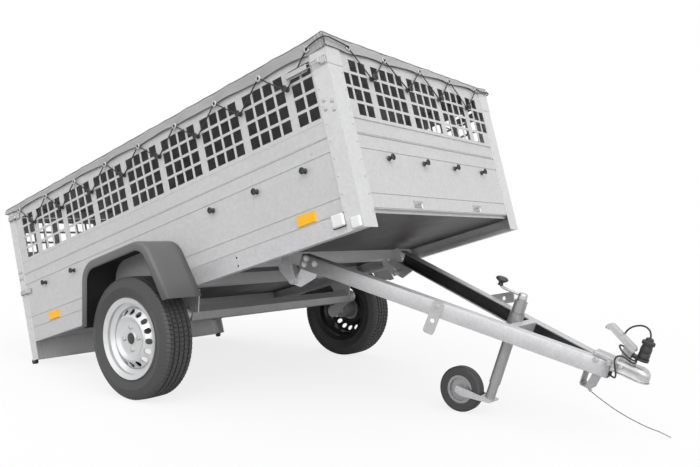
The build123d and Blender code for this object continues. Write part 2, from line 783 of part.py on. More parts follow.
# local X of this plane runs along the left beam's outer face, and local Y points down
beam_side = Plane(
    origin=(0, BEAM_OUT, 0), x_dir=(1, -BEAM_TAPER, 0), z_dir=(BEAM_TAPER, 1, 0)
)
PLATE_OUTLINE = (  # along the beam, up
    (14, BEAM_LOW),
    (6, 26),
    (-18, 4),
    (-14, -14),
    (-4, -19),
    (34, -19),
    (90, 42),
    (90, BEAM_LOW),
)
with BuildPart() as pivot_plates:
    with BuildSketch(beam_side):
        with BuildLine():
            Polyline(*[(x, -z) for x, z in PLATE_OUTLINE], close=True)
        make_face()
    extrude(amount=-PLATE_T)
    rod((0, PLATE_Y - EAR_GAP + EAR_T + 1, 0), (0, PLATE_Y - 1, 0), SPACER_R)
    rod((0, PLATE_Y - 80, 0), (0, PLATE_Y + 10, 0), PIVOT_BOLT_R + 0.3, Mode.SUBTRACT)
    mirror(about=Plane.XZ)
keep("pivot_plates", pivot_plates.part, DRAWBAR)

BRIDGE_WALL = 4
with BuildPart() as bridge:
    # channel across the drawbar in front of the jack, open below
    for inset, top, mode in ((0, BEAM_TOP + 2, Mode.ADD), (BRIDGE_WALL, BEAM_TOP - 2, Mode.SUBTRACT)):
        rear, front = BRIDGE_X[0] + inset, BRIDGE_X[1] - inset
        with BuildSketch(Plane.XY.offset(BEAM_LOW + 10 - inset)):
            with BuildLine():
                Polyline(
                    (rear, -beam_y(rear, BEAM_W)),
                    (front, -beam_y(front, BEAM_W)),
                    (front, beam_y(front, BEAM_W)),
                    (rear, beam_y(rear, BEAM_W)),
                    close=True,
                )
            make_face()
        extrude(amount=top - (BEAM_LOW + 10 - inset), mode=mode)
keep("drawbar_bridge", bridge.part, DRAWBAR)

with BuildPart() as jack_clamp:
    low, high = CLAMP_Z
    rod((JACK_X, 0, low), (JACK_X, 0, high), CLAMP_R)
    block((JACK_X, BRIDGE_X[0]), (-44, 44), (low, low + 26))
    rod((JACK_X + 8, -80, low + 13), (JACK_X + 8, -40, low + 13), 6)
    block((BRIDGE_X[0], BRIDGE_X[1]), (-50, 50), (low - 1, BEAM_TOP + 2.5), Mode.SUBTRACT)
    rod((JACK_X, 0, low - 1), (JACK_X, 0, high + 1), JACK_R + 1, Mode.SUBTRACT)
keep("jack_clamp", jack_clamp.part, DRAWBAR)


def travel_latch(bolt_x, turn):
    """Latch plate on the left beam's outer face, turned up from the beam's line."""
    ahead, up = cos(radians(turn)), sin(radians(turn))
    start = (bolt_x / SLANT, -LATCH_Z)
    middle = LATCH_LENGTH / 2 - LATCH_TAIL
    with BuildPart() as part:
        with BuildSketch(beam_side.offset(LATCH_GAP)):
            with Locations((start[0] + middle * ahead, start[1] - middle * up)):
                RectangleRounded(LATCH_LENGTH, LATCH_WIDTH, LATCH_WIDTH / 4, rotation=-turn)
            with Locations((start[0] + LATCH_EYE * ahead, start[1] - LATCH_EYE * up)):
                Circle(LATCH_HOLE_R, mode=Mode.SUBTRACT)
        extrude(amount=LATCH_T)
    return part.part


with BuildPart() as travel_latches:
    add(travel_latch(*LATCH_BOLTS["left"]))
    add(mirrored(travel_latch(*LATCH_BOLTS["right"])))
keep("travel_latches", travel_latches.part, DRAWBAR)

# ---------------------------------------------------------------- coupling
HEAD_T = 5
with BuildPart() as coupling:
    for inset, mode in ((0, Mode.ADD), (HEAD_T, Mode.SUBTRACT)):
        with BuildSketch(Plane.XY.offset(COUPLING_LOW - inset)):
            with BuildLine():
                Polyline(
                    (BEAM_FRONT + 0.5 + inset, -34 + inset),
                    (COUPLING_BALL[0], -COUPLING_R + inset),
                    (COUPLING_BALL[0], COUPLING_R - inset),
                    (BEAM_FRONT + 0.5 + inset, 34 - inset),
                    close=True,
                )
            make_face()
            if mode == Mode.ADD:
                with Locations((COUPLING_BALL[0], 0)):
                    Circle(COUPLING_R)
        extrude(amount=COUPLING_TOP - COUPLING_LOW, mode=mode)
    # solid block round the ball, and a tongue bolted on top of the beams
    rod((COUPLING_BALL[0], 0, COUPLING_LOW), (COUPLING_BALL[0], 0, COUPLING_TOP), COUPLING_R - 1)
    block((COUPLING_REAR, BEAM_FRONT + 10), (-30, 30), (BEAM_TOP, COUPLING_TOP))
    block((COUPLING_REAR - 1, BEAM_FRONT), (-25, 25), (BEAM_TOP, COUPLING_TOP - HEAD_T), Mode.SUBTRACT)
    block((BEAM_FRONT + 0.5, COUPLING_BALL[0]), (-42, 42), (COUPLING_LOW, COUPLING_LOW + 4))
    rod((COUPLING_BALL[0], 0, COUPLING_LOW), (COUPLING_BALL[0], 0, COUPLING_LOW + 4), COUPLING_R + 6)
    block((BEAM_FRONT + 12, COUPLING_BALL[0] - 34), (-28, 28), (COUPLING_LOW, COUPLING_LOW + 5), Mode.SUBTRACT)
    ball = (COUPLING_BALL[0], 0)
    rod((*ball, COUPLING_LOW - 1), (*ball, COUPLING_BALL[1]), BALL_R, Mode.SUBTRACT)
    with Locations((COUPLING_BALL[0], 0, COUPLING_BALL[1])):
        Sphere(BALL_R, mode=Mode.SUBTRACT)
keep("coupling_head", coupling.part, DRAWBAR)

LEVER = (  # side view of the hand lever, in drawbar X and Z
    (1215, 236),
    (1224, 259),
    (1240, 264),
    (1346, 214),
    (1353, 190),
    (1325, 186),
    (1240, 238),
    (1228, 232),
)
LEVER_HALF = 17
LEVER_T = 3
NECK_X = (1306, 1344)
NECK_TOP = 204
NECK_HALF = 9
with BuildPart() as handle:
    with BuildSketch(Plane.XZ):
        with BuildLine():
            Polyline(*LEVER, close=True)
        make_face()
    extrude(amount=LEVER_HALF, both=True)
    # hollow from below
    with BuildSketch(Plane.XZ):
        with BuildLine():
            Polyline(*[(x, z - 1.2 * LEVER_T) for x, z in LEVER], close=True)
        make_face()
    extrude(amount=LEVER_HALF - LEVER_T, both=True, mode=Mode.SUBTRACT)
    block(NECK_X, (-NECK_HALF, NECK_HALF), (COUPLING_TOP, NECK_TOP))
    lever_pin = (NECK_X[0] + NECK_X[1]) / 2
    rod((lever_pin, -LEVER_HALF - 3, 200), (lever_pin, LEVER_HALF + 3, 200), 7)
keep("coupling_handle", handle.part, DRAWBAR)

with BuildPart() as skid:
    # flat bar bent to a stirrup, welded under the front of the beams
    with BuildSketch(Plane.XZ):
        with BuildLine():
            legs = [
                (SKID_TOP[0], BEAM_LOW + SKID_T),
                (SKID_FOOT[0], SKID_LOW + 7),
                (SKID_FOOT[0] + 7, SKID_LOW),
                (SKID_FOOT[1], SKID_LOW),
                (SKID_TOP[1], BEAM_LOW + SKID_T),
            ]
            Polyline(*ribbon(legs, SKID_T), close=True)
        make_face()
    extrude(amount=SKID_HALF, both=True)
    # flanges that stiffen the front leg
    with BuildSketch(Plane.XZ):
        with BuildLine():
            Polyline(
                (SKID_FOOT[1] - SKID_FLANGE, SKID_LOW + 1),
                (SKID_FOOT[1] - 1, SKID_LOW + 1),
                (SKID_TOP[1] - 1, BEAM_LOW + SKID_T),
                (SKID_TOP[1] - SKID_FLANGE, BEAM_LOW + SKID_T),
                close=True,
            )
        make_face()
    extrude(amount=SKID_HALF, both=True)
    hollow = (SKID_LOW + SKID_T, BEAM_LOW + 2 * SKID_T)
    with BuildSketch(Plane.XZ):
        with BuildLine():
            Polyline(
                (SKID_FOOT[1] - SKID_FLANGE - 1, hollow[0]),
                (SKID_FOOT[1] - SKID_T, hollow[0]),
                (SKID_TOP[1] - SKID_T, hollow[1]),
                (SKID_TOP[1] - SKID_FLANGE - 1, hollow[1]),
                close=True,
            )
        make_face()
    extrude(amount=SKID_HALF - SKID_T, both=True, mode=Mode.SUBTRACT)
    along = (SKID_TOP[0] - 40, SKID_TOP[1] + 40)
    across = (-SKID_HALF - 1, SKID_HALF + 1)
    block(along, across, (BEAM_LOW - 0.1, BEAM_LOW + 20), Mode.SUBTRACT)
keep("drawbar_skid", skid.part, DRAWBAR)

# ---------------------------------------------------------------- plug, cable and safety wire
PLUG_X = 1384
HOLDER_LOW = 172
PLUG_STEPS = (  # from, to in height; radius
    (184, 236, 22),
    (236, 252, 24),
    (252, 266, 15),
)
with BuildPart() as plug:
    for low, high, radius in PLUG_STEPS:
        rod((PLUG_X, 0, low), (PLUG_X, 0, high), radius)
keep("cable_plug", plug.part, DRAWBAR)

with BuildPart() as plug_holder:
    # dummy socket on a bracket from the lever's neck
    rod((PLUG_X, 0, HOLDER_LOW), (PLUG_X, 0, PLUG_STEPS[0][0]), 24)
    block((NECK_X[1], PLUG_X), (-16, 16), (HOLDER_LOW, PLUG_STEPS[0][0]))
keep("plug_holder", plug_holder.part, DRAWBAR)


def cable(points, diameter):
    """Round cable along straight runs joined by the largest arcs that fit."""
    route = [Vector(*point) for point in points]
    radii = []
    for before, corner, after in zip(route, route[1:], route[2:]):
        turn = radians((corner - before).get_angle(after - corner))
        shorter = min((corner - before).length, (after - corner).length)
        radii.append(0.45 * shorter / tan(turn / 2))
    with BuildPart() as part:
        with BuildLine() as path:
            FilletPolyline(*route, radius=radii)
        with BuildSketch(Plane(origin=route[0], z_dir=route[1] - route[0])):
            Circle(diameter / 2)
        sweep()
    length = sum(edge.length for edge in path.edges())
    area = pi * diameter**2 / 4
    print("cable", diameter, "length", round(length), "radii", [round(r) for r in radii])
    print("  volume over section by length", round(part.part.volume / area / length, 4))
    return part.part


CABLE_D = 7
CABLE_ROUTE = [  # out of the right beam's open end and up beside the coupling
    (1270, -16, 82),
    (1291, -17, 77),
    (1312, -27, 74),
    (1324, -45, 82),
    (1321, -54, 103),
    (1309, -56, 125),
    (1299, -53, 148),
    (1305, -48, 166),
]
RING_CENTRE = (1327, 0, 177)  # the cable's two turns round the lever's neck
RING_HALF = (39, 43)  # along and across the drawbar
RING_RISE = 19  # from the middle to the rear
RING_PITCH = 9
for degree in range(270, 841, 30):
    along, across = cos(radians(degree)), sin(radians(degree))
    lift = RING_PITCH * (degree - 540) / 360
    turn_x = RING_CENTRE[0] + RING_HALF[0] * along
    turn_z = RING_CENTRE[2] - RING_RISE * along + lift
    CABLE_ROUTE.append((turn_x, RING_HALF[1] * across, turn_z))
CABLE_ROUTE += [  # up behind the lever and over into the plug
    (1288, 36, 206),
    (1282, 32, 228),
    (1287, 27, 253),
    (1303, 22, 276),
    (1329, 14, 293),
    (1351, 8, 298),
    (1371, 3, 292),
    (1382, 0, 278),
    (PLUG_X, 0, PLUG_STEPS[2][1]),
]
keep("power_cable", cable(CABLE_ROUTE, CABLE_D), DRAWBAR)

WIRE_D = 4
WIRE_ROUTE = (  # from the clip on the skid down to the hook, in the parked frame
    (1803, -27, 184),
    (1814, -19, 172),
    (1842, 2, 147),
    (1879, 30, 115),
    (1916, 58, 88),
    (1954, 86, 64),
    (1982, 107, 48),
    (2004, 124, 37),
    (2023, 139, 29),
)
WIRE_END = (2064, 169, 6)  # tip of the hook, on the ground
CLIP_START = (SKID_FOOT[1] - 7, 5 - SKID_HALF, SKID_LOW + 3)
HOOK_WIDTH = 14
HOOK_BAR = 4
CLIP_GAP = 0.6
with BuildPart() as wire_clips:
    wire_end = Vector(*WIRE_ROUTE[-1])
    run = Vector(*WIRE_END) - wire_end
    level = run.cross(Vector(0, 0, 1))
    hook_length = run.length - CLIP_GAP
    lying = Plane(origin=wire_end, x_dir=run, z_dir=level.cross(run))
    with BuildSketch(lying.offset(-HOOK_BAR / 2)):
        with Locations((CLIP_GAP + hook_length / 2, 0)):
            SlotOverall(hook_length, HOOK_WIDTH)
            SlotOverall(hook_length - 2 * HOOK_BAR, HOOK_WIDTH - 2 * HOOK_BAR, mode=Mode.SUBTRACT)
    extrude(amount=HOOK_BAR)
    clip_start = (DRAWBAR * Location(CLIP_START)).position
    clip_run = Vector(*WIRE_ROUTE[0]) - clip_start
    rod(clip_start, clip_start + clip_run * (1 - 2 * CLIP_GAP / clip_run.length), 6)
    add(skid.part.moved(DRAWBAR), mode=Mode.SUBTRACT)
keep("wire_clips", wire_clips.part, Location())
keep("breakaway_wire", cable(WIRE_ROUTE, WIRE_D), Location())

# ---------------------------------------------------------------- jack
CRANK_END = JACK_X - CRANK_REACH
with BuildPart() as jack_tube:
    rod((JACK_X, 0, JACK_STEP), (JACK_X, 0, JACK_TOP), JACK_R)
    rod((JACK_X, 0, JACK_STEP - 1), (JACK_X, 0, JACK_TOP - 10), JACK_R - JACK_WALL, Mode.SUBTRACT)
    rod((JACK_X, 0, SLEEVE_LOW), (JACK_X, 0, JACK_TOP), SLEEVE_R)
    rod((JACK_X, 0, JACK_STEP - 1), (JACK_X, 0, JACK_TOP - 10), JACK_R - JACK_WALL, Mode.SUBTRACT)
    rod((JACK_X, 0, JACK_TOP), (JACK_X, 0, CRANK_Z - 10), CAP_R)
keep("jack_tube", jack_tube.part, DRAWBAR)

with BuildPart() as jack_crank:
    rod((JACK_X, 0, CRANK_Z - 10), (JACK_X, 0, CAP_TOP), CAP_R)
    rod((JACK_X, 0, CRANK_Z), (CRANK_END + CRANK_BEND, 0, CRANK_Z), CRANK_R)
    rod((CRANK_END + CRANK_BEND + 4, 0, CRANK_Z - 2), (CRANK_END, 0, CRANK_Z + 14), CRANK_R)
    rod((CRANK_END, 0, CRANK_Z + 6), (CRANK_END, 0, KNOB_Z[0]), 13)
    rod((CRANK_END, 0, KNOB_Z[0]), (CRANK_END, 0, KNOB_Z[1]), KNOB_R)
keep("jack_crank", jack_crank.part, DRAWBAR)

with BuildPart() as jack_leg:
    rod((JACK_X, 0, LEG_LOW), (JACK_X, 0, LEG_TOP), LEG_R)
keep("jack_leg", jack_leg.part, DRAWBAR)

HUB_X = JACK_X - JOCKEY_TRAIL
CHEEK_Y = JOCKEY_W / 2 + 5
CHEEK_T = 4
CAP_LOW = LEG_LOW - JOCKEY_PLATE_T - 0.3
with BuildPart() as jockey_fork:
    # a folded cap under the leg, with two cheeks that reach back to the wheel
    block((JACK_X - 30, JACK_X + 28), (-CHEEK_Y, CHEEK_Y), (CAP_LOW, LEG_LOW - 0.3))
    for outer in (CHEEK_Y, -CHEEK_Y - CHEEK_T):
        with BuildSketch(side_plane(outer)):
            with BuildLine():
                Polyline(
                    (HUB_X - 16, JOCKEY_Z - 14),
                    (HUB_X + 20, JOCKEY_Z - 20),
                    (JACK_X + 20, CAP_LOW - 8),
                    (JACK_X + 28, LEG_LOW - 0.3),
                    (HUB_X + 40, LEG_LOW - 4),
                    (HUB_X - 16, JOCKEY_Z + 14),
                    close=True,
                )
            make_face()
        extrude(amount=-CHEEK_T)
    rod((HUB_X, -CHEEK_Y - 9, JOCKEY_Z), (HUB_X, CHEEK_Y + 9, JOCKEY_Z), JOCKEY_PIN_R)
keep("jockey_fork", jockey_fork.part, DRAWBAR)

with BuildPart() as jockey_tyre:
    rod((HUB_X, -JOCKEY_W / 2, JOCKEY_Z), (HUB_X, JOCKEY_W / 2, JOCKEY_Z), JOCKEY_R)
    fillet(jockey_tyre.edges().filter_by(GeomType.CIRCLE), 12)
    rod((HUB_X, -JOCKEY_W, JOCKEY_Z), (HUB_X, JOCKEY_W, JOCKEY_Z), JOCKEY_RIM_R, Mode.SUBTRACT)
keep("jockey_tyre", jockey_tyre.part, DRAWBAR)

with BuildPart() as jockey_rim:
    rod((HUB_X, -20, JOCKEY_Z), (HUB_X, 20, JOCKEY_Z), JOCKEY_RIM_R)
    for side in (-1, 1):
        rod((HUB_X, side * 8, JOCKEY_Z), (HUB_X, side * 21, JOCKEY_Z), 50, Mode.SUBTRACT)
    rod((HUB_X, -27, JOCKEY_Z), (HUB_X, 27, JOCKEY_Z), 20)
    rod((HUB_X, -28, JOCKEY_Z), (HUB_X, 28, JOCKEY_Z), JOCKEY_PIN_R + 0.3, Mode.SUBTRACT)
keep("jockey_rim", jockey_rim.part, DRAWBAR)

# ---------------------------------------------------------------- row frame and files
CORDS = ("power_cable", "cable_plug", "breakaway_wire", "wire_clips")
solid_pieces = [piece for name, piece in pieces.items() if name not in CORDS]
box = Compound(children=[piece.moved(Location()) for piece in solid_pieces]).bounding_box()
SHIFT = Location((-(box.min.X + box.max.X) / 2, -(box.min.Y + box.max.Y) / 2, -box.min.Z))

os.makedirs("parts", exist_ok=True)
for name, piece in pieces.items():
    piece = piece.moved(SHIFT)
    piece.label = name
    export_step(piece, f"parts/{name}.step")


def row_point(frame, x, y, z):
    """A point of one frame in the row frame, in metres."""
    point = (SHIFT * frame * Location((x, y, z))).position
    return [round(value / 1000, 6) for value in point]


POINTS = {
    "wheel_left": row_point(WHEELS["left"], 0, 0, 0),
    "wheel_right": row_point(WHEELS["right"], 0, 0, 0),
    "tailgate": row_point(BED, -HINGE_OUT, 0, HINGE_Z),
    "mesh_gate": row_point(BED, GATE_AXIS[0], 0, GATE_AXIS[1]),
    "pivot": row_point(DRAWBAR, 0, 0, 0),
    "jack": row_point(DRAWBAR, JACK_X, 0, 0),
    "jockey": row_point(DRAWBAR, JACK_X - JOCKEY_TRAIL, 0, JOCKEY_Z),
}
print("tip", round(TIP, 3), "pitch", round(PITCH, 3), "size", box.size)
for name, point in POINTS.items():
    print(name, point)
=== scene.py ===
from math import atan2, ceil, cos, exp, hypot, pi, radians, sin, tan

import bmesh
import bpy
from mathutils import Matrix, Vector


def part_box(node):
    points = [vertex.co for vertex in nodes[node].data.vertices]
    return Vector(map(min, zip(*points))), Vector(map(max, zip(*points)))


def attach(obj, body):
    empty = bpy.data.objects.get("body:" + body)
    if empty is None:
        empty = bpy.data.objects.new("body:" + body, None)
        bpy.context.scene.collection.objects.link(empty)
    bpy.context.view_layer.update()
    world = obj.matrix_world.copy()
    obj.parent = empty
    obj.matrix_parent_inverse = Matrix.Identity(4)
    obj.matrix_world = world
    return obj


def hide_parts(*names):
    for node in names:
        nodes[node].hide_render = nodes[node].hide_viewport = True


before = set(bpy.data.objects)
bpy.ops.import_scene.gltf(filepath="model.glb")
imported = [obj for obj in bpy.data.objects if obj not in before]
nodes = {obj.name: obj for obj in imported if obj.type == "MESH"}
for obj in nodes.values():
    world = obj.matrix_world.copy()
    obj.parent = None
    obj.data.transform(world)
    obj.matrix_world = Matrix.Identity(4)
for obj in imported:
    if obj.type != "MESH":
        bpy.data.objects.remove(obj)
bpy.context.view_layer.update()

# ---------------------------------------------------------------- camera
# Eye level of someone standing off the right-hand front corner. The camera is measured
# from the wheel axis, because the tipped bed and the drawbar are measured from there too.
wheel_low, wheel_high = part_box("tyre_left")
WHEEL_X = (wheel_low.x + wheel_high.x) / 2
WHEEL_R = wheel_high.z / 2
camera = bpy.data.objects.new("camera", bpy.data.cameras.new("camera"))
bpy.context.collection.objects.link(camera)
camera.location = (WHEEL_X + 2.72083, -2.79710, 0.81934)
camera.rotation_euler = [radians(angle) for angle in (86.10086, -1.63423, 34.60259)]
camera.data.sensor_fit = "HORIZONTAL"
camera.data.sensor_width = 36
camera.data.lens = 37.532
camera.data.shift_x = -0.0509
camera.data.shift_y = 0.0540
bpy.context.scene.camera = camera

# ---------------------------------------------------------------- cable and safety wire
# The lamp cable leaves the drawbar, winds twice round the lever's neck and goes into its
# plug. The safety wire hangs from the skid to the ground, where its snap hook lies.
TIP = radians(17.3)
PITCH = radians(16.548)
MM = Matrix.Scale(0.001, 4)
# bed and drawbar place what is drawn in their own frames, in millimetres
axle_spot = Matrix.Translation((WHEEL_X, 0, WHEEL_R))
BED = axle_spot @ Matrix.Rotation(-TIP, 4, "Y") @ MM @ Matrix.Translation((-1059, 0, 158))
DRAWBAR = Matrix.Translation(BED @ Vector((1722, 0, -72))) @ Matrix.Rotation(PITCH, 4, "Y") @ MM
GROUND = Matrix.Translation((WHEEL_X, 0, 0)) @ MM


def shown(name, data, body, *finishes):
    """Object of the finished data, riding on a body."""
    piece = bpy.data.objects.new(name, data)
    bpy.context.collection.objects.link(piece)
    for finish in finishes:
        data.materials.append(finish)
    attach(piece, body)
    return piece


def cord_line(name, kind, route, place, diameter, body, finish):
    """Cord on a route drawn in millimetres: NURBS hangs smooth, POLY is taut between its points."""
    data = bpy.data.curves.new(name, "CURVE")
    data.dimensions = "3D"
    data.bevel_depth = diameter / 2000
    data.use_fill_caps = True
    spline = data.splines.new(kind)
    spline.points.add(len(route) - 1)
    for point, spot in zip(spline.points, route):
        point.co = (*(place @ Vector(spot)), 1)
    data.bevel_resolution = 2
    if kind == "NURBS":
        data.bevel_resolution = 3
        data.resolution_u = 6
        spline.order_u = 3
        spline.use_endpoint_u = True
    return shown(name, data, body, finish)


def finish_of(name, colour, roughness, metallic=0.0):
    """Material with its plain numbers on the shader's own sockets."""
    material = bpy.data.materials.new(name)
    material.use_nodes = True
    shader = material.node_tree.nodes["Principled BSDF"]
    shader.inputs["Base Color"].default_value = (*colour, 1)
    shader.inputs["Roughness"].default_value = roughness
    shader.inputs["Metallic"].default_value = metallic
    return material


def group_of(name, inputs, outputs):
    """Empty shader group with named sockets."""
    group = bpy.data.node_groups.new(name, "ShaderNodeTree")
    for label, kind, value in inputs:
        socket = group.interface.new_socket(label, in_out="INPUT", socket_type=f"NodeSocket{kind}")
        socket.default_value = value
    for label, kind in outputs:
        group.interface.new_socket(label, in_out="OUTPUT", socket_type=f"NodeSocket{kind}")
    return group, group.nodes.new("NodeGroupInput"), group.nodes.new("NodeGroupOutput")


def node_in(tree, kind, **settings):
    """Shader node with its settings and unlinked inputs filled in."""
    node = tree.nodes.new(f"ShaderNode{kind}")
    for key, value in settings.items():
        if hasattr(node, key):
            setattr(node, key, value)
        else:
            node.inputs[key.replace("_", " ")].default_value = value
    return node


def linked(tree, pairs):
    """Links between output and input sockets."""
    for start, end in pairs:
        tree.links.new(start, end)


# fine grain of moulded plastic and rubber: uneven tone, and small bumps
grain, grain_in, grain_out = group_of(
    "moulded grain",
    (("Dark", "Color", (0, 0, 0, 1)), ("Light", "Color", (1, 1, 1, 1)), ("Size", "Float", 0.001),
     ("Depth", "Float", 0.0001), ("Gloss Low", "Float", 0.4), ("Gloss High", "Float", 0.6)),
    (("Color", "Color"), ("Roughness", "Float"), ("Normal", "Vector")),
)
place = node_in(grain, "TexCoord")
finer = node_in(grain, "Math", operation="DIVIDE")
finer.inputs[0].default_value = 1
bumps = node_in(grain, "TexNoise", Detail=2.0)
cloud = node_in(grain, "TexNoise", Scale=7.0, Detail=4.0)
tone = node_in(grain, "Mix", data_type="RGBA")
gloss = node_in(grain, "MapRange")
bump = node_in(grain, "Bump")
linked(grain, (
    (grain_in.outputs["Size"], finer.inputs[1]), (finer.outputs[0], bumps.inputs["Scale"]),
    (place.outputs["Object"], bumps.inputs["Vector"]), (place.outputs["Object"], cloud.inputs["Vector"]),
    (cloud.outputs["Fac"], tone.inputs["Factor"]), (grain_in.outputs["Dark"], tone.inputs["A"]),
    (grain_in.outputs["Light"], tone.inputs["B"]), (tone.outputs["Result"], grain_out.inputs["Color"]),
    (cloud.outputs["Fac"], gloss.inputs["Value"]), (grain_in.outputs["Gloss Low"], gloss.inputs["To Min"]),
    (grain_in.outputs["Gloss High"], gloss.inputs["To Max"]),
    (gloss.outputs["Result"], grain_out.inputs["Roughness"]), (bumps.outputs["Fac"], bump.inputs["Height"]),
    (grain_in.outputs["Depth"], bump.inputs["Distance"]),
    (bump.outputs["Normal"], grain_out.inputs["Normal"]),
))


def from_group(group, name, dark, light, gloss, metallic, sizes):
    """Material whose colour, gloss and relief a shader group makes."""
    material = finish_of(name, dark, gloss[0], metallic)
    tree = material.node_tree
    shader = tree.nodes["Principled BSDF"]
    skin = tree.nodes.new("ShaderNodeGroup")
    skin.node_tree = group
    values = {"Dark": (*dark, 1), "Light": (*light, 1), "Gloss Low": gloss[0], "Gloss High": gloss[1]}
    for label, value in (values | sizes).items():
        skin.inputs[label].default_value = value
    for from_skin, to_shader in (("Color", "Base Color"), ("Roughness", "Roughness"), ("Normal", "Normal")):
        tree.links.new(skin.outputs[from_skin], shader.inputs[to_shader])
    return material


def grained(name, dark, light, size, depth, gloss, metallic=0.0):
    """Moulded finish: two tones, size and depth of the grain in metres, gloss from and to."""
    return from_group(grain, name, dark, light, gloss, metallic, {"Size": size, "Depth": depth})


cable_rubber = grained("cable_rubber", (0.012, 0.012, 0.013), (0.03, 0.03, 0.032), 0.0012, 0.0001,
                       (0.45, 0.6))
wire_coat = grained("wire_coat", (0.10, 0.10, 0.105), (0.19, 0.19, 0.2), 0.001, 0.0002, (0.35, 0.5), 0.6)

CABLE_D = 7
CABLE_ROUTE = [  # out of the right beam's open end and up beside the coupling
    (1270, -16, 82),
    (1291, -17, 77),
    (1312, -27, 74),
    (1324, -45, 82),
    (1321, -54, 103),
    (1309, -56, 125),
    (1299, -53, 148),
    (1305, -48, 166),
]
RING_CENTRE = (1327, 0, 177)  # two turns round the lever's neck
RING_HALF = (39, 43)
RING_RISE = 19
RING_PITCH = 9
for degree in range(270, 841, 30):
    along, across = cos(radians(degree)), sin(radians(degree))
    lift = RING_PITCH * (degree - 540) / 360
    turn_x = RING_CENTRE[0] + RING_HALF[0] * along
    CABLE_ROUTE.append((turn_x, RING_HALF[1] * across, RING_CENTRE[2] - RING_RISE * along + lift))
CABLE_ROUTE += [  # up behind the lever and over into the plug
    (1288, 36, 206),
    (1282, 32, 228),
    (1287, 27, 253),
    (1303, 22, 276),
    (1329, 14, 293),
    (1351, 8, 298),
    (1371, 3, 292),
    (1382, 0, 278),
    (1384, 0, 266),
]
cable = cord_line("lamp_cable", "NURBS", CABLE_ROUTE, DRAWBAR, CABLE_D, "drawbar", cable_rubber)
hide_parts("power_cable")

WIRE_D = 4
WIRE_ROUTE = (
    (1803, -27, 184),
    (1814, -19, 172),
    (1842, 2, 147),
    (1879, 30, 115),
    (1916, 58, 88),
    (1954, 86, 64),
    (1982, 107, 48),
    (2004, 124, 37),
    (2023, 139, 29),
)
wire = cord_line("safety_wire", "NURBS", WIRE_ROUTE, GROUND, WIRE_D, "drawbar", wire_coat)
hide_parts("breakaway_wire")

# ---------------------------------------------------------------- zinc-coated sheet and steel
# The bed is folded from sheet with a smooth zinc skin, and the frame under it is hot-dipped,
# so its zinc is cloudier and shows its crystals.
spangle, spangle_in, spangle_out = group_of(
    "zinc spangle",
    (("Dark", "Color", (0, 0, 0, 1)), ("Light", "Color", (1, 1, 1, 1)), ("Crystal", "Float", 0.01),
     ("Cloud", "Float", 0.2), ("Gloss Low", "Float", 0.4), ("Gloss High", "Float", 0.6),
     ("Depth", "Float", 0.0001)),
    (("Color", "Color"), ("Roughness", "Float"), ("Normal", "Vector")),
)
place = node_in(spangle, "TexCoord")
crystal_scale = node_in(spangle, "Math", operation="DIVIDE")
crystal_scale.inputs[0].default_value = 1
cloud_scale = node_in(spangle, "Math", operation="DIVIDE")
cloud_scale.inputs[0].default_value = 1
crystals = node_in(spangle, "TexVoronoi")
grey = node_in(spangle, "SeparateColor")
cloud = node_in(spangle, "TexNoise", Detail=5.0, Roughness=0.6)
both = node_in(spangle, "Mix")
both.inputs["Factor"].default_value = 0.6
tone = node_in(spangle, "Mix", data_type="RGBA")
gloss = node_in(spangle, "MapRange")
bump = node_in(spangle, "Bump")
linked(spangle, (
    (spangle_in.outputs["Crystal"], crystal_scale.inputs[1]),
    (crystal_scale.outputs[0], crystals.inputs["Scale"]),
    (spangle_in.outputs["Cloud"], cloud_scale.inputs[1]), (cloud_scale.outputs[0], cloud.inputs["Scale"]),
    (place.outputs["Object"], crystals.inputs["Vector"]), (place.outputs["Object"], cloud.inputs["Vector"]),
    (crystals.outputs["Color"], grey.inputs["Color"]), (grey.outputs["Red"], both.inputs["A"]),
    (cloud.outputs["Fac"], both.inputs["B"]), (both.outputs["Result"], tone.inputs["Factor"]),
    (spangle_in.outputs["Dark"], tone.inputs["A"]), (spangle_in.outputs["Light"], tone.inputs["B"]),
    (tone.outputs["Result"], spangle_out.inputs["Color"]), (both.outputs["Result"], gloss.inputs["Value"]),
    (spangle_in.outputs["Gloss Low"], gloss.inputs["To Min"]),
    (spangle_in.outputs["Gloss High"], gloss.inputs["To Max"]),
    (gloss.outputs["Result"], spangle_out.inputs["Roughness"]),
    (cloud.outputs["Fac"], bump.inputs["Height"]), (spangle_in.outputs["Depth"], bump.inputs["Distance"]),
    (bump.outputs["Normal"], spangle_out.inputs["Normal"]),
))


def zinc(name, dark, light, crystal, cloud_size, gloss, depth, metallic):
    """Zinc finish: two greys, size of crystals and clouds in metres, gloss, relief."""
    sizes = {"Crystal": crystal, "Cloud": cloud_size, "Depth": depth}
    return from_group(spangle, name, dark, light, gloss, metallic, sizes)


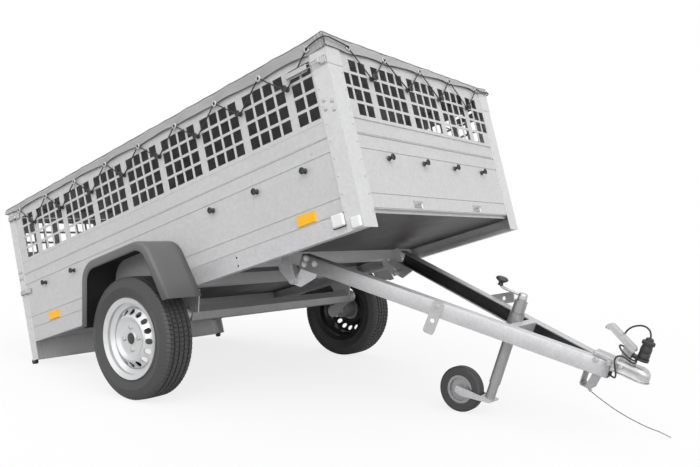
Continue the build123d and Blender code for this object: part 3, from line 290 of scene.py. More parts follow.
sheet_zinc = zinc("sheet_zinc", (0.48, 0.48, 0.485), (0.60, 0.60, 0.605), 0.012, 0.5, (0.5, 0.62), 0.0006,
                  0.2)
steel_zinc = zinc("steel_zinc", (0.43, 0.43, 0.44), (0.60, 0.60, 0.61), 0.007, 0.09, (0.4, 0.6), 0.0004, 0.55)
bright_zinc = zinc("bright_zinc", (0.38, 0.38, 0.385), (0.54, 0.54, 0.545), 0.004, 0.05, (0.25, 0.4),
                   0.0002, 0.65)
post_zinc = zinc("post_zinc", (0.54, 0.54, 0.545), (0.66, 0.66, 0.665), 0.010, 0.3, (0.45, 0.55), 0.0005,
                 0.25)
SHEET_NODES = ("side_walls", "front_wall", "tailgate", "mesh_sides", "mesh_front", "mesh_gate",
               "rear_valance")
POST_NODES = ("front_posts", "rear_posts", "corner_caps", "rear_header", "gate_pins")
STEEL_NODES = (
    "side_rails", "axle_brackets", "trailing_arms", "pivot_brackets",
    "pivot_plates", "drawbar_bridge", "tailgate_hinges", "bed_hinges", "jockey_fork", "cross_members",
)
BRIGHT_NODES = ("travel_latches", "front_hooks")
# Darker zinc: the jack's own duller plating, and painted shade on parts that sit in shade, such as the axle
# tube and the drawbar skid.
dull_zinc_and_shade = zinc("dull_zinc_and_shade", (0.27, 0.27, 0.275), (0.38, 0.38, 0.385), 0.005, 0.07, (0.35, 0.5), 0.0003, 0.6)
DULL_AND_SHADED_NODES = ("wire_clips", "axle_tube", "jack_clamp", "jack_tube", "jack_leg", "jockey_rim",
              "drawbar_skid", "hub_left", "hub_right")


def coated(finish, *names):
    """Finish of nodes that keep their shape."""
    for name in names:
        nodes[name].data.materials.clear()
        nodes[name].data.materials.append(finish)


coated(sheet_zinc, *SHEET_NODES)
coated(post_zinc, *POST_NODES)
coated(steel_zinc, *STEEL_NODES)
coated(bright_zinc, *BRIGHT_NODES)
coated(dull_zinc_and_shade, *DULL_AND_SHADED_NODES)

# ---------------------------------------------------------------- plain mouldings
# Fenders are blow-moulded in dark grey polythene, the floor is film-faced plywood, and the
# rollers, plug and its holder are black.
fender_grey = grained("fender_grey", (0.10, 0.10, 0.101), (0.135, 0.135, 0.136), 0.0016, 0.00035,
                      (0.42, 0.55))
plywood_film = grained("plywood_film", (0.016, 0.014, 0.013), (0.032, 0.027, 0.024), 0.004, 0.0003,
                       (0.4, 0.6))
black_moulding = grained("black_moulding", (0.012, 0.012, 0.013), (0.028, 0.028, 0.03), 0.0015, 0.0002,
                         (0.35, 0.5))
tyre_rubber = grained("tyre_rubber", (0.032, 0.032, 0.032), (0.052, 0.052, 0.052), 0.003, 0.0002, (0.5, 0.65))
wheel_lacquer = grained("wheel_lacquer", (0.54, 0.545, 0.55), (0.62, 0.625, 0.63), 0.0012, 0.00006,
                        (0.26, 0.36), 0.6)
white_cap = grained("white_cap", (0.78, 0.78, 0.77), (0.84, 0.84, 0.83), 0.002, 0.00005, (0.25, 0.35))
amber = grained("amber", (0.9, 0.42, 0.0), (1.0, 0.55, 0.01), 0.003, 0.0003, (0.2, 0.3))
red_lens = grained("red_lens", (0.45, 0.01, 0.01), (0.6, 0.02, 0.02), 0.003, 0.0003, (0.15, 0.25))
coated(plywood_film, "floor")
coated(black_moulding, "rear_rollers", "cable_plug", "plug_holder")
coated(tyre_rubber, "tyre_left", "tyre_right", "jockey_tyre")
coated(white_cap, "marker_lamps", "number_plate")
coated(amber, "side_reflectors")
coated(red_lens, "tail_lamps")

# ---------------------------------------------------------------- tyres
# Road tyres of black rubber: four grooves round the tread, cross cuts on its blocks, and
# ribs on the walls. Each is one moulding, pressed on the wheel.
TREAD_R = 273.5
TREAD_HALF = 58
GROOVES = (-38, -13, 13, 38)  # middles across the tread
GROOVE_HALF = 3.5
GROOVE_DEEP = 7
BLOCKS = 84  # round the tyre
BLOCK_STEPS = (0, 0.15, 0.5, 0.62, 1)  # cross cuts at the ends and middle of a block
SHOULDER_CUT, RIB_CUT, WALL_CUT = 4.8, 4.0, 2.6
BLOCK_SLANT = 0.4
SIDE_WALL = ((166, 60), (172, 63), (182, 64.5), (184, 66.5), (187, 66.5), (190, 65), (206, 72.5), (222, 77),
             (224, 78), (227, 78), (229, 77), (243, 74.5), (254, 70), (258, 69), (263, 65), (268, 61),
             (271.5, 58))
across_tread = [(TREAD_R - 0.6 - 1.4 * (abs(y) / TREAD_HALF) ** 2, y, y) for y in (56, 52, 47)]
for middle in reversed(GROOVES):
    for offset, deep in ((GROOVE_HALF + 0.6, 0), (GROOVE_HALF, 1), (-GROOVE_HALF, 1),
                         (-GROOVE_HALF - 0.6, 0)):
        y = middle + offset
        across_tread.append((TREAD_R - 1.4 * (y / TREAD_HALF) ** 2 - GROOVE_DEEP * deep, y, deep))
far_shoulder = [(TREAD_R - 1.3, -y) for y in (47, 52, 56)]
across_tread = sorted([(r, y) for r, y, _ in across_tread] + far_shoulder, key=lambda at: -at[1])
outline = [(r, y) for r, y in SIDE_WALL] + across_tread + [(r, -y) for r, y in reversed(SIDE_WALL)]
shape = bmesh.new()
turn = 2 * pi / BLOCKS
rows = []
for share in BLOCK_STEPS:
    row = []
    for index, (radius, y) in enumerate(outline):
        cut = 0
        if abs(y) < 55 and radius > TREAD_R - 4:
            # shoulder blocks are cut once and the middle ribs twice, on a slant
            cut = SHOULDER_CUT * (share in (0, 1)) if abs(y) > GROOVES[-1] else RIB_CUT * (share == 0.5)
        if 55 <= abs(y) <= 70 and radius > 255:
            cut = WALL_CUT * (share in (0, 1))
        angle = turn * (share + BLOCK_SLANT * abs(y) / TREAD_HALF * (abs(y) < 70))
        row.append(shape.verts.new(((radius - cut) * sin(angle), y, (radius - cut) * cos(angle))))
    rows.append(row)


def skinned(shape, rows):
    """Quads between rows of points, each row with as many points."""
    for one, two in zip(rows, rows[1:]):
        for index in range(len(one) - 1):
            shape.faces.new((one[index], one[index + 1], two[index + 1], two[index]))


skinned(shape, rows)
block_mesh = bpy.data.meshes.new("tread block")
shape.to_mesh(block_mesh)
shape.free()
tread_block = bpy.data.objects.new("tread block", block_mesh)
bpy.context.collection.objects.link(tread_block)


def tree_of(name, inputs):
    """Geometry tree with a geometry input, named inputs and a geometry output."""
    tree = bpy.data.node_groups.new(name, "GeometryNodeTree")
    tree.interface.new_socket("Geometry", in_out="INPUT", socket_type="NodeSocketGeometry")
    for label, kind in inputs:
        tree.interface.new_socket(label, in_out="INPUT", socket_type=f"NodeSocket{kind}")
    tree.interface.new_socket("Geometry", in_out="OUTPUT", socket_type="NodeSocketGeometry")
    return tree, tree.nodes.new("NodeGroupInput"), tree.nodes.new("NodeGroupOutput")


def grown(name, start_mesh, tree, values):
    """Plain mesh that a geometry tree makes from a start mesh and its named inputs."""
    start = bpy.data.objects.new(name, start_mesh)
    bpy.context.collection.objects.link(start)
    modifier = start.modifiers.new("tree", "NODES")
    modifier.node_group = tree
    for socket in tree.interface.items_tree:
        if socket.in_out == "INPUT" and socket.name in values:
            modifier[socket.identifier] = values[socket.name]
    bpy.context.view_layer.update()
    seen = start.evaluated_get(bpy.context.evaluated_depsgraph_get())
    mesh = bpy.data.meshes.new_from_object(seen)
    bpy.data.objects.remove(start)
    return mesh


ring, ring_in, ring_out = tree_of(
    "blocks round a wheel", (("Block", "Object"), ("Count", "Int"), ("Finish", "Material"),
                             ("Seam", "Float")))
spots = ring.nodes.new("GeometryNodePoints")
number = ring.nodes.new("GeometryNodeInputIndex")
part_turn = ring.nodes.new("ShaderNodeMath")
part_turn.operation = "DIVIDE"
part_turn.inputs[0].default_value = 2 * pi
angle = ring.nodes.new("ShaderNodeMath")
angle.operation = "MULTIPLY"
spin = ring.nodes.new("ShaderNodeCombineXYZ")
block = ring.nodes.new("GeometryNodeObjectInfo")
placed = ring.nodes.new("GeometryNodeInstanceOnPoints")
real = ring.nodes.new("GeometryNodeRealizeInstances")
merged = ring.nodes.new("GeometryNodeMergeByDistance")
dressed = ring.nodes.new("GeometryNodeSetMaterial")
to_rotation = ring.nodes.new("FunctionNodeEulerToRotation")
linked(ring, (
    (ring_in.outputs["Count"], spots.inputs["Count"]), (ring_in.outputs["Count"], part_turn.inputs[1]),
    (part_turn.outputs[0], angle.inputs[0]), (number.outputs[0], angle.inputs[1]),
    (angle.outputs[0], spin.inputs["Y"]), (spin.outputs[0], to_rotation.inputs[0]),
    (spots.outputs[0], placed.inputs["Points"]), (ring_in.outputs["Block"], block.inputs["Object"]),
    (block.outputs["Geometry"], placed.inputs["Instance"]),
    (to_rotation.outputs[0], placed.inputs["Rotation"]), (placed.outputs[0], real.inputs[0]),
    (real.outputs[0], merged.inputs["Geometry"]), (ring_in.outputs["Seam"], merged.inputs["Distance"]),
    (merged.outputs[0], dressed.inputs["Geometry"]),
    (ring_in.outputs["Finish"], dressed.inputs["Material"]), (dressed.outputs[0], ring_out.inputs[0]),
))


def smoothed(mesh, angle=35):
    """Smooth shading with sharp edges past an angle."""
    mesh.polygons.foreach_set("use_smooth", [True] * len(mesh.polygons))
    mesh.set_sharp_from_angle(angle=radians(angle))


def settled(mesh, place):
    """Mesh moved to its place with its faces turned outwards."""
    shape = bmesh.new()
    shape.from_mesh(mesh)
    shape.transform(place)
    bmesh.ops.recalc_face_normals(shape, faces=shape.faces)
    shape.to_mesh(mesh)
    shape.free()
    mesh.update()


def made_mesh(name, shape, place, angle):
    """Mesh of a finished shape at its place, smooth but for edges past an angle."""
    mesh = bpy.data.meshes.new(name)
    shape.to_mesh(mesh)
    shape.free()
    settled(mesh, place)
    smoothed(mesh, angle)
    return mesh


TRACK_HALF = 0.748
WHEELS = {
    "left": Matrix.Translation((WHEEL_X, TRACK_HALF, WHEEL_R)),
    "right": Matrix.Translation((WHEEL_X, -TRACK_HALF, WHEEL_R)) @ Matrix.Rotation(pi, 4, "Z"),
}
for side, place in WHEELS.items():
    values = {"Block": tread_block, "Count": BLOCKS, "Finish": tyre_rubber, "Seam": 0.05}
    mesh = grown(f"tread_{side}", bpy.data.meshes.new(f"tread_{side}"), ring, values)
    settled(mesh, place @ MM)
    smoothed(mesh, 28)
    tyre = shown(f"road_tyre_{side}", mesh, f"wheel_{side}")
    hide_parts(f"tyre_{side}")
bpy.data.objects.remove(tread_block)

# ---------------------------------------------------------------- cover
# Flat tarpaulin of grey coated fabric over the mesh sides. Its edge is turned down all round,
# hemmed, pleated at the corners, and drawn down at every eyelet by the elastic cord.
COVER_REAR, COVER_FRONT, COVER_HALF = -6, 2326, 669
COVER_TOP = 747.5
SKIRT = 46
EDGE_R = 9
SAG = 13
BILLOW = 3.0  # of the skirt between two eyelets
CORNER_PLEAT, SIDE_PLEAT = 6.0, 3.4
SIDE_EYELETS = [128 + 264 * count for count in range(9)]
SIDE_EYELET_Z = (711, 707, 700, 703, 702, 702, 703, 706, 715)
FRONT_EYELETS = (-524, -278, 0, 266, 545)
FRONT_EYELET_Z = (717, 716, 720, 724, 730)
REAR_EYELETS = (-540, -270, 0, 270, 540)
REAR_EYELET_Z = 714


def skirt_pull(along, eyelets):
    """1 at an eyelet, falling to 0 halfway to the next."""
    nearest = min(abs(along - spot) for spot in eyelets)
    return exp(-((nearest / 42) ** 2))


def hem_height(x, y):
    """Height of the hem: it hangs lowest at the near front corner."""
    forward, over = (x - COVER_REAR) / (COVER_FRONT - COVER_REAR), (y + COVER_HALF) / (2 * COVER_HALF)
    return 720 - 24 * forward * (1 - over) + 8 * forward * over


def drawn_fold(along, drop, eyelets):
    """Outward height of the folds that run from each eyelet up over the edge."""
    height = 0
    for spot in eyelets:
        for ahead, size in ((105, 4.5), (-62, 2.6)):
            length = hypot(ahead, 30)
            along_fold = ((along - spot) * ahead + (30 - drop) * 30) / length
            off_fold = ((along - spot) * 30 - (30 - drop) * ahead) / length
            if -8 < along_fold < length + 30:
                fade = min(1, (along_fold + 8) / 20) * min(1, (length + 30 - along_fold) / 50)
                height += size * fade * exp(-((off_fold / 9) ** 2))
    return height


def cover_point(across, along):
    """Point of the cover from its flat place: across and along, each running into the skirts."""
    past_side = max(0, abs(across) - COVER_HALF)
    past_end = max(0, COVER_REAR - along, along - COVER_FRONT)
    y = max(-COVER_HALF, min(COVER_HALF, across))
    x = max(COVER_REAR, min(COVER_FRONT, along))
    side = 1 if across > 0 else -1
    end = 1 if along > 1000 else -1
    drop = max(past_side, past_end)
    to_side, to_end = COVER_HALF - abs(y), min(x - COVER_REAR, COVER_FRONT - x)
    inside = min(to_side, to_end)
    ends = REAR_EYELETS if x < 1160 else FRONT_EYELETS
    # the edge stands up on the frame, and most at the front corners
    edge_top = COVER_TOP + 3 + 5 * exp(-((hypot(to_side, COVER_FRONT - x) / 70) ** 2))
    if drop == 0:
        # drawn tight, with a shallow sag and creases that run in from the eyelets
        on_side = to_side < to_end
        fold = drawn_fold(x, -inside, SIDE_EYELETS) if on_side else drawn_fold(y, -inside, ends)
        sag = SAG * (1 - exp(-inside / 150)) + 0.9 * sin(x / 47 + y / 90) * sin(y / 61 - x / 170)
        return x, y, edge_top - max(0.0, sag) + 0.8 * fold - 3.2 * exp(-inside / 12)
    if past_side >= past_end:
        pull, fold = skirt_pull(along, SIDE_EYELETS), drawn_fold(along, drop, SIDE_EYELETS)
    else:
        pull, fold = skirt_pull(across, ends), drawn_fold(across, drop, ends)
    share = drop / SKIRT
    billow = (BILLOW * (1 - pull) * share ** 2 + 1.4 * sin(along / 31 + 1) * sin(across / 37 + 2) * share
              - 1.2 * pull)
    round_part = min(1, drop / (EDGE_R * 1.5))
    out = EDGE_R * sin(round_part * pi / 2)
    hem = hem_height(x, y) + 2.5 * sin(along / 57 + across / 43) - 3 * pull
    deep = (edge_top - 3.2 - hem - EDGE_R) / (SKIRT - EDGE_R * 1.5)
    down = EDGE_R * (1 - cos(round_part * pi / 2)) + max(0, drop - EDGE_R * 1.5) * deep
    if past_side > 0 and past_end > 0:
        # gathered round the corner in pleats that fade towards the top
        turn = 0.5 * pi * (0.5 * past_end / past_side if past_side >= past_end
                           else 1 - 0.5 * past_side / past_end)
        pleat = CORNER_PLEAT * sin(turn * 15) * min(1, drop / 22)
        reach = out - EDGE_R + pleat + 2 * share
        return x + end * reach * sin(turn), y + side * reach * cos(turn), edge_top - 3.2 - down
    to_corner = to_end if past_side > 0 else to_side
    # the cord gathers the edge into close pleats beside each corner
    gather = (SIDE_PLEAT * sin(0.36 * to_corner) * exp(-((to_corner / 48) ** 2)) * min(1, drop / 14)
              * (1 - 0.4 * share))
    reach = out - EDGE_R + billow + 0.6 * fold + gather
    if past_side > 0:
        return x, y + side * reach, edge_top - 3.2 - down
    return x + end * reach, y, edge_top - 3.2 - down


def cover_lines(low, high, step):
    """Grid lines from one hem to the other, closer together over the turned edge."""
    skirt = [0, 4, 8, 12, 17, 22, 28, 34, 40, SKIRT - 1.5, SKIRT]
    count = ceil((high - low) / step)
    top = [low + (high - low) * share / count for share in range(1, count)]
    near = [low + d for d in range(4, 81, 4)]
    far = [high - d for d in range(80, 3, -4)]
    inner = [at for at in top if low + 84 < at < high - 84]
    return [low - d for d in reversed(skirt)] + near + inner + far + [high + d for d in skirt]


fabric_grey = finish_of("fabric_grey", (0.4, 0.4, 0.4), 0.62)
tree = fabric_grey.node_tree
shader = tree.nodes["Principled BSDF"]
shader.inputs["Sheen Weight"].default_value = 0.15
place = node_in(tree, "TexCoord")
threads = node_in(tree, "TexBrick", Scale=900.0, Mortar_Size=0.08)
threads.inputs["Color1"].default_value = (0.9, 0.9, 0.9, 1)
threads.inputs["Color2"].default_value = (0.6, 0.6, 0.6, 1)
threads.inputs["Mortar"].default_value = (0.2, 0.2, 0.2, 1)
stains = node_in(tree, "TexNoise", Scale=3.5, Detail=5.0)
tone = node_in(tree, "Mix", data_type="RGBA")
tone.inputs["A"].default_value = (0.30, 0.30, 0.302, 1)
tone.inputs["B"].default_value = (0.44, 0.44, 0.442, 1)
folds = node_in(tree, "TexNoise", Scale=26.0, Detail=3.0)
weave = node_in(tree, "Bump", Distance=0.0001)
crease = node_in(tree, "Bump", Distance=0.0016)
linked(tree, (
    (place.outputs["Object"], threads.inputs["Vector"]), (place.outputs["Object"], stains.inputs["Vector"]),
    (place.outputs["Object"], folds.inputs["Vector"]), (stains.outputs["Fac"], tone.inputs["Factor"]),
    (tone.outputs["Result"], shader.inputs["Base Color"]), (threads.outputs["Fac"], weave.inputs["Height"]),
    (folds.outputs["Fac"], crease.inputs["Height"]), (weave.outputs["Normal"], crease.inputs["Normal"]),
    (crease.outputs["Normal"], shader.inputs["Normal"]),
))

across_lines = cover_lines(-COVER_HALF, COVER_HALF, 14)
along_lines = cover_lines(COVER_REAR, COVER_FRONT, 14)
shape = bmesh.new()
grid = [[shape.verts.new(cover_point(across, along)) for across in across_lines] for along in along_lines]
skinned(shape, grid)
mesh = made_mesh("cover_sheet", shape, BED, 60)
cover = shown("cover_sheet", mesh, "bed", fabric_grey)
cover_wall = cover.modifiers.new("coating", "SOLIDIFY")
cover_wall.thickness = 0.0012
cover_wall.offset = -1
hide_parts("cover")

# ---------------------------------------------------------------- eyelets
# Rolled brass rings, nickel plated, pressed through the cover's hem, one over every gap
# between two knobs.
fastened, fastened_in, fastened_out = tree_of(
    "fasteners on spots", (("Fastener", "Object"), ("Size", "Float"), ("Finish", "Material")))
facing = fastened.nodes.new("GeometryNodeInputNamedAttribute")
facing.data_type = "FLOAT_VECTOR"
facing.inputs["Name"].default_value = "facing"
to_rotation = fastened.nodes.new("FunctionNodeEulerToRotation")
one = fastened.nodes.new("GeometryNodeObjectInfo")
placed = fastened.nodes.new("GeometryNodeInstanceOnPoints")
real = fastened.nodes.new("GeometryNodeRealizeInstances")
dressed = fastened.nodes.new("GeometryNodeSetMaterial")
linked(fastened, (
    (fastened_in.outputs["Geometry"], placed.inputs["Points"]),
    (fastened_in.outputs["Fastener"], one.inputs["Object"]),
    (one.outputs["Geometry"], placed.inputs["Instance"]),
    (facing.outputs["Attribute"], to_rotation.inputs[0]),
    (to_rotation.outputs[0], placed.inputs["Rotation"]),
    (fastened_in.outputs["Size"], placed.inputs["Scale"]), (placed.outputs[0], real.inputs[0]),
    (real.outputs[0], dressed.inputs["Geometry"]),
    (fastened_in.outputs["Finish"], dressed.inputs["Material"]),
    (dressed.outputs[0], fastened_out.inputs[0]),
))


def turned(steps, sides=20):
    """Mesh turned round Z from steps of radius and height; it closes where the radius is 0."""
    shape = bmesh.new()
    rings = []
    for radius, z in steps:
        if radius == 0:
            rings.append([shape.verts.new((0, 0, z))])
            continue
        corners = [2 * pi * count / sides for count in range(sides)]
        rings.append([shape.verts.new((radius * cos(a), radius * sin(a), z)) for a in corners])
    for low, high in zip(rings, rings[1:]):
        for index in range(sides):
            after = (index + 1) % sides
            quad = [low[index % len(low)], low[after % len(low)], high[after % len(high)],
                    high[index % len(high)]]
            corners = list(dict.fromkeys(quad))
            if len(corners) > 2:
                shape.faces.new(corners)
    bmesh.ops.recalc_face_normals(shape, faces=shape.faces)
    mesh = bpy.data.meshes.new("turned")
    shape.to_mesh(mesh)
    shape.free()
    return mesh


def fasten(name, fastener, spots, place, body, finish, size=1.0):
    """Like pieces on spots: each spot is a point and the way out of the surface."""
    one = bpy.data.objects.new("fastener", fastener)
    bpy.context.collection.objects.link(one)
    base = bpy.data.meshes.new(name)
    base.from_pydata([place @ Vector(spot) for spot, _ in spots], [], [])
    attribute = base.attributes.new("facing", "FLOAT_VECTOR", "POINT")
    turn = place.to_3x3()
    for index, (_, out) in enumerate(spots):
        attribute.data[index].vector = (turn @ Vector(out)).to_track_quat("Z", "Y").to_euler()
    mesh = grown(name, base, fastened, {"Fastener": one, "Size": 0.001 * size, "Finish": finish})
    bpy.data.objects.remove(one)
    smoothed(mesh, 40)
    return shown(name, mesh, body)


EYELET = ((5.5, 0), (5.5, 2), (6.5, 2.8), (9.5, 2.6), (11, 1.4), (11, 0), (5.5, 0))
spots = []
for side in (-1, 1):
    spots += [((along, side * 670.5, z), (0, side, 0)) for along, z in zip(SIDE_EYELETS, SIDE_EYELET_Z)]
spots += [((2327.5, across, z), (1, 0, 0)) for across, z in zip(FRONT_EYELETS, FRONT_EYELET_Z)]
spots += [((-7.5, across, REAR_EYELET_Z), (-1, 0, 0)) for across in REAR_EYELETS]
eyelets = fasten("cover_eyelets", turned(EYELET), spots, BED, "bed", bright_zinc, 1.25)

# ---------------------------------------------------------------- knobs and elastic cord
# Black nylon knobs are screwed to the mesh panels and, for a lower cover, to the walls. One
# elastic cord zigzags round the upper ones and through the eyelets.
KNOB_AT = [244 + 265.5 * count for count in range(8)]
LOW_KNOB_Z, HIGH_KNOB_Z = 281, 611
FRONT_KNOBS = (-398.25, -132.75, 132.75, 398.25)
KNOB = ((0, 0), (9, 0), (9.5, 1.5), (8, 4), (6, 6), (5.5, 10), (7.5, 14), (10.5, 16.5), (12, 18), (12, 20),
        (11, 21), (8, 21.5), (7, 19), (0, 18.5))
spots = []
for side in (-1, 1):
    clear_of_fender = [along for along in KNOB_AT if not 700 < along < 1500]
    spots += [((along, side * 659, LOW_KNOB_Z), (0, side, 0)) for along in clear_of_fender]
    spots += [((along, side * 659, HIGH_KNOB_Z), (0, side, 0)) for along in KNOB_AT]
spots += [((2320, across, z), (1, 0, 0)) for across in FRONT_KNOBS for z in (282, 613)]
knobs = fasten("cord_knobs", turned(KNOB), spots, BED, "bed", black_moulding, 1.15)

ELASTIC_D = 5.5
elastic_black = grained("elastic_black", (0.014, 0.014, 0.014), (0.04, 0.04, 0.04), 0.001, 0.0002,
                        (0.6, 0.75))


ROUND_KNOB = [(6.5 * cos(radians(degree)), 6.5 * sin(radians(degree)))
              for degree in (200, 235, 270, 305, 340)]
for side, label in ((-1, "right"), (1, "left")):
    route = []
    for count, (along, z) in enumerate(zip(SIDE_EYELETS, SIDE_EYELET_Z)):
        route += [(along - 4, side * 671, z - 2), (along, side * 677, z), (along + 4, side * 671, z - 2)]
        if count < len(KNOB_AT):
            route += [(KNOB_AT[count] + right, side * 668, HIGH_KNOB_Z + up) for right, up in ROUND_KNOB]
    # outside the gathered corner to the first eyelet of the front
    first, z = (FRONT_EYELETS[0], FRONT_EYELET_Z[0]) if side < 0 else (FRONT_EYELETS[-1], FRONT_EYELET_Z[-1])
    ROUND_CORNER = ((2244, 678, 715), (2275, 680, 720), (2306, 681, 724), (2326, 679, 726),
                    (2336, 669, 727), (2339, 650, 727), (2337, 615, 725), (2336, 570, 721))
    route += [(x, side * y, up) for x, y, up in ROUND_CORNER] + [(2334, first, z)]
    cord = cord_line(f"elastic_{label}", "POLY", route, BED, ELASTIC_D, "bed", elastic_black)
route = []
for count, (across, z) in enumerate(zip(FRONT_EYELETS, FRONT_EYELET_Z)):
    route += [(2328, across - 4, z - 2), (2334, across, z), (2328, across + 4, z - 2)]
    if count < len(FRONT_KNOBS):
        route += [(2329, FRONT_KNOBS[count] + right, 613 + up) for right, up in ROUND_KNOB]
cord = cord_line("elastic_front", "POLY", route, BED, ELASTIC_D, "bed", elastic_black)

# ---------------------------------------------------------------- wheels
# Pressed steel wheels, lacquered silver, with a near-black painted shade on their inboard side, held by four
# bolts each; a black cap closes the hub and a rubber valve stands behind the rim's edge.
SHADE_EDGE = 0.768  # the painted shade starts here inside the barrel
LACQUER_METAL = 0.6
rim_lacquer = wheel_lacquer.copy()
rim_lacquer.name = "rim_lacquer"
tree = rim_lacquer.node_tree
shader = tree.nodes["Principled BSDF"]
place = node_in(tree, "TexCoord")
spot = node_in(tree, "SeparateXYZ")
facing_way = node_in(tree, "SeparateXYZ")
off_middle = node_in(tree, "Math", operation="ABSOLUTE")
behind = node_in(tree, "Math", operation="LESS_THAN")
behind.inputs[1].default_value = SHADE_EDGE
outward = node_in(tree, "Math", operation="MULTIPLY")
inward = node_in(tree, "Math", operation="LESS_THAN")
inward.inputs[1].default_value = -0.2
shaded_part = node_in(tree, "Math", operation="MAXIMUM")
# painted shade: the inboard part of the wheel, and faces turned towards the trailer, go near black and lose
# their metallic sheen
lacquer_and_shade = node_in(tree, "Mix", data_type="RGBA")
lacquer_and_shade.inputs["B"].default_value = (0.02, 0.02, 0.021, 1)
metal = node_in(tree, "MapRange")
metal.inputs["To Min"].default_value = LACQUER_METAL
metal.inputs["To Max"].default_value = 0.0
skin = next(node for node in tree.nodes if node.type == "GROUP")
linked(tree, (
    (place.outputs["Object"], spot.inputs[0]), (place.outputs["Normal"], facing_way.inputs[0]),
    (spot.outputs["Y"], off_middle.inputs[0]), (off_middle.outputs[0], behind.inputs[0]),
    (spot.outputs["Y"], outward.inputs[0]), (facing_way.outputs["Y"], outward.inputs[1]),
    (outward.outputs[0], inward.inputs[0]), (behind.outputs[0], shaded_part.inputs[0]),
    (inward.outputs[0], shaded_part.inputs[1]), (shaded_part.outputs[0], lacquer_and_shade.inputs["Factor"]),
    (skin.outputs["Color"], lacquer_and_shade.inputs["A"]), (lacquer_and_shade.outputs["Result"], shader.inputs["Base Color"]),
    (shaded_part.outputs[0], metal.inputs["Value"]), (metal.outputs["Result"], shader.inputs["Metallic"]),
))
coated(rim_lacquer, "rim_left", "rim_right")
BOLT_CIRCLE = 50
DISC_FACE = 47
WHEEL_BOLT = ((0, 0), (10.5, 0), (10.5, 10), (9, 12), (0, 12))
BOLT_SEAT = ((0, 0), (15.5, 0), (14.5, 2), (11, 3.2), (10, 2), (0, 2))
CAP_RING = ((29, -1), (31, 1), (31, 5), (29.5, 7), (26, 7.5), (25, 5), (25, 0), (29, -1))
HUB_CAP = ((0, 3), (25.5, 3), (25.5, 5.5), (23, 7.5), (12, 8.6), (0, 9))
VALVE = ((0, -14), (6, -14), (6, 0), (4.2, 3), (4, 20), (3, 21), (3, 27), (0, 27.5))
for side, place in WHEELS.items():
    wheel = place @ MM
    angles = [radians(8 + 90 * count) for count in range(4)]
    spots = [((BOLT_CIRCLE * sin(a), DISC_FACE, BOLT_CIRCLE * cos(a)), (0, 1, 0)) for a in angles]
    bolts = fasten(f"wheel_bolts_{side}", turned(WHEEL_BOLT, 6), spots, wheel, f"wheel_{side}", bright_zinc)
    seats = fasten(f"bolt_seats_{side}", turned(BOLT_SEAT, 24), spots, wheel, f"wheel_{side}", wheel_lacquer)
    ring_spot = [((0, DISC_FACE, 0), (0, 1, 0))]
    cap_ring = fasten(f"cap_ring_{side}", turned(CAP_RING, 36), ring_spot, wheel, f"wheel_{side}",
                      wheel_lacquer)
    cap = fasten(f"hub_cap_{side}", turned(HUB_CAP, 36), ring_spot, wheel, f"wheel_{side}", black_moulding)
    valve = fasten(f"valve_{side}", turned(VALVE, 12), [((-152, 33, 0), (0.25, 1, 0))], wheel,
                   f"wheel_{side}", cable_rubber)

# ---------------------------------------------------------------- fenders
# Each fender is one moulding of grey polythene: an arch with round corners and a deep lip
# turned in along its outer edge, screwed to the wall of the bed.
FENDER_X, FENDER_TOP, FENDER_LOW = 1079, 236, -50
FENDER_TOP_HALF, FENDER_LOW_HALF = 230, 320
FENDER_FILLET = 110
FENDER_SECTION = [(659.5, 0), (700, 0), (750, 0), (790, 0), (826, 0)]
FENDER_SECTION += [(826 + 14 * sin(radians(a)), 14 - 14 * cos(radians(a))) for a in (18, 36, 54, 72, 90)]
FENDER_SECTION += [(839, 30), (837, 41)]


def arch_line(inset):
    """Arch from the rear foot over to the front foot, taken in by inset."""
    top = FENDER_TOP - inset
    foot = Vector((-FENDER_LOW_HALF + inset, FENDER_LOW))
    corner = Vector((-FENDER_TOP_HALF + 0.7 * inset, top))
    rise = corner - foot
    lean = atan2(rise.x, -rise.y)
    radius = FENDER_FILLET - inset
    middle = Vector((corner.x + radius * tan((lean - pi / 2) / 2), top - radius))
    angles = [lean + (pi / 2 - lean) * step / 10 for step in range(11)]
    half = [foot] + [middle + radius * Vector((cos(angle), sin(angle))) for angle in angles]
    return [(FENDER_X + at.x, at.y) for at in half] + [(FENDER_X - at.x, at.y) for at in reversed(half)]


shape = bmesh.new()
for side in (-1, 1):
    rows = [[shape.verts.new((x, side * y, z)) for x, z in arch_line(inset)] for y, inset in FENDER_SECTION]
    skinned(shape, rows)
mesh = made_mesh("fender_arches", shape, BED, 50)
# painted shade: the fender's inner face is near black, much darker than its grey outside
fender_painted_shade = grained("fender_painted_shade", (0.008, 0.008, 0.008), (0.02, 0.02, 0.02), 0.004, 0.0005,
                        (0.75, 0.9))
arches = shown("fender_arches", mesh, "bed", fender_grey, fender_painted_shade)
moulding = arches.modifiers.new("moulding", "SOLIDIFY")
moulding.thickness = 0.004
moulding.offset = -1
moulding.material_offset = 1
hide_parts("fenders")

